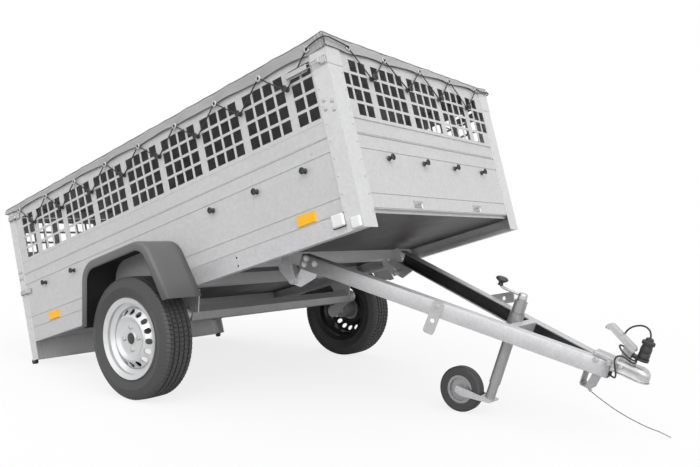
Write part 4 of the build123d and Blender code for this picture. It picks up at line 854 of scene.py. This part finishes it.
# ---------------------------------------------------------------- rivets and bolts
# Domed rivets hold the corner posts, and hex bolts with washers hold the drawbar, its
# coupling and the mesh frame's feet.
RIVET = ((0, 0), (4.2, 0), (3.9, 1.1), (2.4, 2.1), (0, 2.5))
HEX_BOLT = ((0, 0), (7.5, 0), (7.5, 4.4), (6.4, 5.4), (0, 5.4))
WASHER = ((5, 0), (10.5, 0), (10.5, 1.4), (5, 1.4), (5, 0))
spots = []
for side in (-1, 1):
    for count in range(9):
        z = 60 + 68 * count
        if z < 600:
            spots.append(((2253, side * 663, z + 16), (0, side, 0)))
        spots.append(((2320, side * 589, z), (1, 0, 0)))
        spots.append(((40, side * 663, z + 10), (0, side, 0)))
        spots.append(((0, side * 622, z + 10), (-1, 0, 0)))
    spots += [((along, side * 659, 334), (0, side, 0)) for along in (150, 2150)]
rivets = fasten("post_rivets", turned(RIVET, 12), spots, BED, "bed", bright_zinc)
FRONT_POST_BOLTS = ((2262, 470), (2262, 505), (2300, 455), (2300, 490))
REAR_POST_BOLTS = ((14, 352), (14, 386), (36, 352), (36, 386))
spots = [((x, side * 663, z), (0, side, 0)) for side in (-1, 1) for x, z in FRONT_POST_BOLTS]
spots += [((x, side * 663, z), (0, side, 0)) for side in (-1, 1) for x, z in REAR_POST_BOLTS]
post_bolts = fasten("post_bolts", turned(HEX_BOLT, 6), spots, BED, "bed", bright_zinc, 0.9)
washers = fasten("post_washers", turned(WASHER, 18), spots, BED, "bed", bright_zinc, 0.9)

BEAM_SLANT = 0.2976
spots = []
for side in (-1, 1):
    for x, z in ((1233, 117), (1278, 121), (24, 110), (22, 82), (66, 99)):
        spots.append(((x, side * (414 - BEAM_SLANT * x), z), (BEAM_SLANT, side, 0)))
beam_bolts = fasten("drawbar_bolts", turned(HEX_BOLT, 6), spots, DRAWBAR, "drawbar", bright_zinc, 1.2)
beam_washers = fasten("drawbar_washers", turned(WASHER, 18), spots, DRAWBAR, "drawbar", bright_zinc, 1.2)
spots = [((1325, side * 34.5, 126), (0, side, 0)) for side in (-1, 1)]
for x, side in ((632, 1), (610, -1)):
    spots.append(((x, side * (414 - BEAM_SLANT * x + 6), 107), (BEAM_SLANT, side, 0)))
latch_bolts = fasten("latch_bolts", turned(HEX_BOLT, 6), spots, DRAWBAR, "drawbar", bright_zinc, 1.3)

# ---------------------------------------------------------------- drawbar beams
# Two lipped channels of hot-dipped steel, open towards each other, that meet in front on a
# mitre. Their insides carry a near-black painted shade.
BEAM_OUT, BEAM_W, BEAM_LOW, BEAM_TOP = 414, 52.2, 59, 124
BEAM_REAR, BEAM_FRONT, BEAM_LIP, BEAM_R = 2, 1290, 6, 3
# painted shade: near-black finish for the inner face of each channel, put on the solidified wall by
# material_offset
channel_painted_shade = zinc("channel_painted_shade", (0.05, 0.05, 0.052), (0.12, 0.12, 0.123), 0.007, 0.09, (0.4, 0.6),
                      0.0004, 0.5)
shape = bmesh.new()
for side in (-1, 1):
    rows = []
    for x in (BEAM_REAR, 400, 800, 1150, 1214, BEAM_FRONT):
        outer = BEAM_OUT - BEAM_SLANT * x
        inner = max(0.6, outer - BEAM_W)
        half = [(inner, BEAM_LIP), (inner, 1.5), (inner + 1.5, 0), (outer - BEAM_R, 0),
                (outer - 0.3 * BEAM_R, 0.3 * BEAM_R), (outer, BEAM_R)]
        row = [(y, BEAM_LOW + z) for y, z in half] + [(y, BEAM_TOP - z) for y, z in reversed(half)]
        rows.append([shape.verts.new((x, side * y, z)) for y, z in row])
    skinned(shape, rows)
mesh = made_mesh("drawbar_channels", shape, DRAWBAR, 30)
channels = shown("drawbar_channels", mesh, "drawbar", steel_zinc, channel_painted_shade)
wall = channels.modifiers.new("wall", "SOLIDIFY")
wall.thickness = 0.003
wall.offset = -1
wall.material_offset = 1
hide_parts("drawbar_beams")

# ---------------------------------------------------------------- lamps
# White marker lamps sit on black bases low on the front corners; the tail lamps have red,
# amber and white lenses in black housings.


def bar(shape, x, y, z):
    """Block between two numbers each way, to be rounded later."""
    corners = [shape.verts.new((x[i], y[j], z[k])) for i in (0, 1) for j in (0, 1) for k in (0, 1)]
    for face in ((0, 1, 3, 2), (4, 6, 7, 5), (0, 4, 5, 1), (2, 3, 7, 6), (0, 2, 6, 4), (1, 5, 7, 3)):
        shape.faces.new([corners[index] for index in face])


def rounded(name, shape, place, body, finish, width, segments=3):
    """Piece of the shape with its edges rounded by a width in millimetres."""
    piece = shown(name, made_mesh(name, shape, place, 40), body, finish)
    edge = piece.modifiers.new("edge", "BEVEL")
    edge.width = width / 1000
    edge.segments = segments
    edge.limit_method = "ANGLE"
    edge.harden_normals = True
    return piece


def both_sides(low, high):
    """The left-hand range and its right-hand twin."""
    return (low, high), (-high, -low)


shape = bmesh.new()
for across in both_sides(663, 679):
    bar(shape, (2185, 2243), across, (27, 77))
for across in both_sides(663, 677):
    bar(shape, (2270, 2316), across, (3, 47))
caps = rounded("marker_caps", shape, BED, "bed", white_cap, 9, 4)
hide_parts("marker_lamps")
shape = bmesh.new()
for across in both_sides(659, 666):
    bar(shape, (2179, 2241), across, (25, 79))
bases = rounded("marker_bases", shape, BED, "bed", black_moulding, 2)
MARKER_LENSES = ((2214, 678.6, 52), (2293, 676.6, 25))
rings = [((x, side * face, z), (0, side, 0)) for side in (-1, 1) for x, face, z in MARKER_LENSES]
LENS_RING = ((12, 0), (13, 0.8), (13.5, 0), (12, 0))
lens_rings = fasten("marker_rings", turned(LENS_RING, 28), rings, BED, "bed", white_cap)

shape = bmesh.new()
for across in both_sides(370, 590):
    bar(shape, (-12, 0), across, (-80, 20))
housings = rounded("lamp_housings", shape, BED, "bed", black_moulding, 4)
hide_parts("tail_lamps")
clear_lens = grained("clear_lens", (0.7, 0.7, 0.7), (0.8, 0.8, 0.8), 0.004, 0.0004, (0.15, 0.2))
for label, finish, slot, low, high in (("red", red_lens, "red_lens", 498, 586),
                                       ("amber", amber, "yellow_reflector", 438, 496),
                                       ("clear", clear_lens, "white_lens", 374, 436)):
    shape = bmesh.new()
    for across in both_sides(low, high):
        bar(shape, (-44, -11), across, (-76, 16))
    lens = rounded(f"lamp_lens_{label}", shape, BED, "bed", finish, 7, 4)

# ---------------------------------------------------------------- jack crank
# Bright steel bar bent out of the jack's cap and up into a black knob that turns on it.
CRANK_X, CAP_X = 743, 854
CRANK_ROUTE = ((850, 0, 229), (806, 0, 229), (778, 0, 229), (758, 0, 230), (745, 0, 236), (CRANK_X, 0, 248),
               (CRANK_X, 0, 258))
crank = cord_line("crank_bar", "NURBS", CRANK_ROUTE, DRAWBAR, 12, "jack_tube", bright_zinc)
CRANK_KNOB = ((0, 0), (12, 0), (12.5, 2), (10, 8), (11, 14), (20, 19), (26.5, 25), (27, 29), (24, 34),
              (16, 37.5), (0, 39))
knob = fasten("crank_knob", turned(CRANK_KNOB, 32), [((CRANK_X, 0, 235), (0, 0, 1))], DRAWBAR, "jack_tube",
              black_moulding)
CRANK_CAP = ((0, 0), (20, 0), (20, 3), (19, 4), (19, 16), (17, 20), (13, 21.5), (0, 21.5))
cap = fasten("crank_cap", turned(CRANK_CAP, 32), [((CAP_X, 0, 219), (0, 0, 1))], DRAWBAR, "jack_tube",
             bright_zinc)
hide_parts("jack_crank")

# ---------------------------------------------------------------- coupling head
# Pressed steel shell with a turned-out rim and a dome over the ball, on a tongue that is
# bolted between the beams. It is zinc plated.
HEAD_SECTIONS = (  # place along the drawbar, half width, top
    (1291, 34, 143),
    (1300, 34, 144),
    (1318, 32, 144),
    (1345, 30, 143),
    (1362, 32, 143.5),
    (1378, 35, 144.5),
    (1394, 36, 145),
    (1408, 34, 143),
    (1419, 28.5, 138),
    (1427, 20, 130),
    (1431, 9, 121),
)
RIM_OUTLINE = ((1291, 41), (1345, 40), (1372, 42), (1395, 43.5), (1415, 39), (1429, 27), (1437, 12))
shape = bmesh.new()
rows = []
for x, half, top in HEAD_SECTIONS:
    round_over = min(11, half * 0.5, (top - 101) * 0.4)
    emboss = 2.2 if 1310 < x < 1400 else 0
    near = [(half + 2.5, 101), (half, 103), (half - emboss * 0.2, 108), (half - emboss, 113),
            (half - emboss, 126), (half - emboss * 0.2, top - round_over - 2)]
    for degree in (0, 30, 60, 90):
        out, up = cos(radians(degree)), sin(radians(degree))
        near.append((half - round_over + round_over * out, top - round_over + round_over * up))
    row = near + [(-y, z) for y, z in reversed(near)]
    rows.append([shape.verts.new((x, y, z)) for y, z in row])
skinned(shape, rows)
shape.faces.new(rows[-1])
mesh = made_mesh("head_shell", shape, DRAWBAR, 55)
head = shown("head_shell", mesh, "drawbar", bright_zinc)
shell_wall = head.modifiers.new("pressing", "SOLIDIFY")
shell_wall.thickness = 0.003
shell_wall.offset = -1
smoother = head.modifiers.new("draw", "SUBSURF")
smoother.levels = smoother.render_levels = 1
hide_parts("coupling_head")


def prism(shape, near, far):
    """Closed prism between two rings of points."""
    near, far = ([shape.verts.new(spot) for spot in ring] for ring in (near, far))
    for index in range(len(near)):
        after = (index + 1) % len(near)
        shape.faces.new((near[index], near[after], far[after], far[index]))
    shape.faces.new(reversed(near))
    shape.faces.new(far)


rim_line = list(RIM_OUTLINE) + [(x, -y) for x, y in reversed(RIM_OUTLINE)]
rim_line += [(1291, -30), (1375, -27), (1395, -26), (1413, -19), (1421, 0), (1413, 19), (1395, 26),
             (1375, 27), (1291, 30)]
shape = bmesh.new()
prism(shape, [(x, y, 97.2) for x, y in rim_line], [(x, y, 101.2) for x, y in rim_line])
rim = rounded("head_rim", shape, DRAWBAR, "drawbar", bright_zinc, 1, 2)
shape = bmesh.new()
bar(shape, (1209, 1300), (-30, 30), (124.3, 144))
tongue = rounded("head_tongue", shape, DRAWBAR, "drawbar", bright_zinc, 5, 4)
shape = bmesh.new()
bar(shape, (1357, 1428), (-24, 24), (118, 138))
ball_seat = rounded("ball_seat", shape, DRAWBAR, "drawbar", steel_zinc, 8, 3)

# ---------------------------------------------------------------- hand lever
# Zinc-plated channel over the coupling's neck: its pin is in front, and its rear end, which
# the hand lifts, is round and has a turned-down edge.
LEVER_SIDE = ((1228, 237), (1221, 242), (1219, 250), (1222, 258), (1229, 263), (1238, 264), (1248, 260),
              (1344, 214), (1350, 208), (1352, 199), (1348, 192), (1341, 189), (1334, 191), (1246, 236),
              (1238, 239))
lever_back = LEVER_SIDE[1:9]
under = [(x + 1.2 - 3 * (index < 2), z - 3.2) for index, (x, z) in enumerate(lever_back)]
web = list(lever_back) + under[::-1]
shape = bmesh.new()
for outline, low, high in ((LEVER_SIDE, 14, 17), (LEVER_SIDE, -17, -14), (web, -14.2, 14.2)):
    prism(shape, [(x, low, z) for x, z in outline], [(x, high, z) for x, z in outline])
bar(shape, (1306, 1344), (-9, 9), (143, 204))
lever = rounded("hand_lever", shape, DRAWBAR, "drawbar", bright_zinc, 1, 2)
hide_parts("coupling_handle")

# ---------------------------------------------------------------- toggle latches
# Pressed zinc-plated latches: a riveted base plate, a hollow lever that turns on a pin, and a
# wire loop that the lever draws tight over a catch.
SIDE_LATCHES = (  # middle along the bed, face it sits on, height, length
    (2216, 669, 650, 200),
    (56, 663, 686, 100),
    (50, 663, 272, 92),
)
LATCH_WIRE = 3.5
shape = bmesh.new()
spots = []
for x, y, z, length in SIDE_LATCHES:
    rear, front = x - length / 2, x + length / 2
    for low, high, foot, head in (
        (rear, x + 6, 0, 2.5), (front - 34, front, 0, 2.5), (front - 30, front - 26, 2, 12),
        (front - 38, front - 27, 10, 12.5),
    ):
        for across in both_sides(y + foot, y + head):
            bar(shape, (low, high), across, (z - 15, z + 15) if head < 5 else (z - 9, z + 9))
    for across in both_sides(y + 9, y + 11.5):
        bar(shape, (rear + 6, x + 12), across, (z - 11, z + 11))
    for low, high in ((z - 11, z - 8.5), (z + 8.5, z + 11)):
        for across in both_sides(y + 2, y + 11.5):
            bar(shape, (rear + 6, x + 12), across, (low, high))
    for side in (-1, 1):
        spots += [((at, side * (y + 2.5), z + up), (0, side, 0)) for at in (rear + 3, front - 4)
                  for up in (-11, 11)]
latches = rounded("toggle_latches", shape, BED, "bed", bright_zinc, 0.8, 2)
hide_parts("side_latches")
latch_rivets = fasten("latch_rivets", turned(RIVET, 12), spots, BED, "bed", dull_zinc_and_shade, 0.7)
for label, (x, y, z, length) in zip(("front", "rear", "gate"), SIDE_LATCHES):
    front = x + length / 2
    for side, hand in ((-1, "right"), (1, "left")):
        half_loop = [(x + 4, y + 6, 7), (front - 36, y + 6.5, 7), (front - 32, y + 7, 4)]
        route = [(at, side * out, z - up) for at, out, up in half_loop]
        route += [(at, side * out, z + up) for at, out, up in reversed(half_loop)]
        loop = cord_line(f"latch_loop_{label}_{hand}", "POLY", route, BED, LATCH_WIRE, "bed", bright_zinc)

# ---------------------------------------------------------------- plug
# Thirteen-pin plug of black nylon in its dummy socket, with a ribbed grip, a screwed collar
# and a cable gland on top.
PLUG = ((0, 0), (20, 0), (22, 2), (22, 16), (21, 18), (21, 22), (22, 24), (22, 40), (20, 46), (20, 52),
        (24, 54), (24, 66), (22, 68), (17, 69), (15, 71), (15, 77), (11, 80), (5, 82), (0, 82))
PLUG_X = 1384
plug = fasten("trailer_plug", turned(PLUG, 36), [((PLUG_X, 0, 184), (0, 0, 1))], DRAWBAR, "drawbar",
              black_moulding)
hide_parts("cable_plug")
RIB = ((1.6, 0), (1.6, 11), (0, 11.6))
RIBS, RIB_CIRCLE = 18, 23.6
turns = [2 * pi * count / RIBS for count in range(RIBS)]
spots = [((PLUG_X + RIB_CIRCLE * cos(a), RIB_CIRCLE * sin(a), 238.5), (0, 0, 1)) for a in turns]
ribs = fasten("plug_ribs", turned(RIB, 8), spots, DRAWBAR, "drawbar", black_moulding)

# ---------------------------------------------------------------- mesh panel hems
# The mesh panels are stiffened by a pressed bead just above the walls.
shape = bmesh.new()
for side in (-1, 1):
    across = sorted((side * 658.5, side * 660.2))
    bar(shape, (8, 2240), across, (430, 434))
    bar(shape, (8, 2240), across, (372, 374))
bar(shape, (2318.5, 2320.4), (-576, 576), (430, 434))
bar(shape, (2318.5, 2320.4), (-576, 576), (372, 374))
beads = rounded("panel_beads", shape, BED, "bed", sheet_zinc, 0.8, 2)

# ---------------------------------------------------------------- floor and light
# A plain pale floor under soft white light from the front and the near side.
floor_mesh = bpy.data.meshes.new("ground")
FLOOR = 30
corners = [(-FLOOR, -FLOOR, 0), (FLOOR, -FLOOR, 0), (FLOOR, FLOOR, 0), (-FLOOR, FLOOR, 0)]
floor_mesh.from_pydata(corners, [], [(0, 1, 2, 3)])
ground = bpy.data.objects.new("ground", floor_mesh)
bpy.context.collection.objects.link(ground)
FLOOR_GLOW = 0.8  # the rest of the floor's white is lit, and keeps the shadow
floor_white = finish_of("ground", (0.9, 0.9, 0.9), 0.9)
tree = floor_white.node_tree
duller = node_in(tree, "Mix", data_type="RGBA")
duller.inputs["A"].default_value = (0.9, 0.9, 0.9, 1)
duller.inputs["B"].default_value = (0.34, 0.34, 0.34, 1)
glow = node_in(tree, "Emission", Strength=1.0)
glow.inputs["Color"].default_value = (1, 1, 1, 1)
ray = node_in(tree, "LightPath")
seen = node_in(tree, "Math", operation="MAXIMUM")
share = node_in(tree, "Math", operation="MULTIPLY")
share.inputs[1].default_value = FLOOR_GLOW
paler = node_in(tree, "MixShader")
linked(tree, (
    (ray.outputs["Is Camera Ray"], seen.inputs[0]), (ray.outputs["Is Transmission Ray"], seen.inputs[1]),
    (seen.outputs[0], share.inputs[0]), (share.outputs[0], paler.inputs[0]),
    (ray.outputs["Is Diffuse Ray"], duller.inputs["Factor"]),
    (duller.outputs["Result"], tree.nodes["Principled BSDF"].inputs["Base Color"]),
    (tree.nodes["Principled BSDF"].outputs[0], paler.inputs[1]), (glow.outputs[0], paler.inputs[2]),
    (paler.outputs[0], tree.nodes["Material Output"].inputs["Surface"]),
))
ground.data.materials.append(floor_white)
SUNS = (  # name, strength, softness, where the light comes from
    ("key", 2.75, 80, (0.9, -0.45, 0.6)),
    ("side", 1.3, 80, (0.05, -1.0, 0.5)),
    ("top", 0.6, 60, (-0.2, 0.2, 1.0)),
)
for name, strength, softness, away in SUNS:
    lamp = bpy.data.lights.new(name, "SUN")
    lamp.energy = strength
    lamp.angle = radians(softness)
    sun = bpy.data.objects.new(name, lamp)
    sun.rotation_euler = Vector(away).to_track_quat("Z", "Y").to_euler()
    bpy.context.collection.objects.link(sun)
ROOM_LIGHT = 0.24
world = bpy.data.worlds.new("world")
world.use_nodes = True
tree = world.node_tree
room = tree.nodes["Background"]
room.inputs["Color"].default_value = (1, 1, 1, 1)
room.inputs["Strength"].default_value = ROOM_LIGHT
backdrop = node_in(tree, "Background", Strength=1.0)
backdrop.inputs["Color"].default_value = (1, 1, 1, 1)
ray = node_in(tree, "LightPath")
seen = node_in(tree, "Math", operation="MAXIMUM")
shown_too = node_in(tree, "Math", operation="MAXIMUM")
either = node_in(tree, "MixShader")
linked(tree, (
    (ray.outputs["Is Camera Ray"], seen.inputs[0]), (ray.outputs["Is Transmission Ray"], seen.inputs[1]),
    (seen.outputs[0], shown_too.inputs[0]), (ray.outputs["Is Glossy Ray"], shown_too.inputs[1]),
    (shown_too.outputs[0], either.inputs[0]), (room.outputs[0], either.inputs[1]),
    (backdrop.outputs[0], either.inputs[2]),
    (either.outputs[0], tree.nodes["World Output"].inputs["Surface"]),
))
bpy.context.scene.world = world
bpy.context.scene.view_settings.view_transform = "Standard"
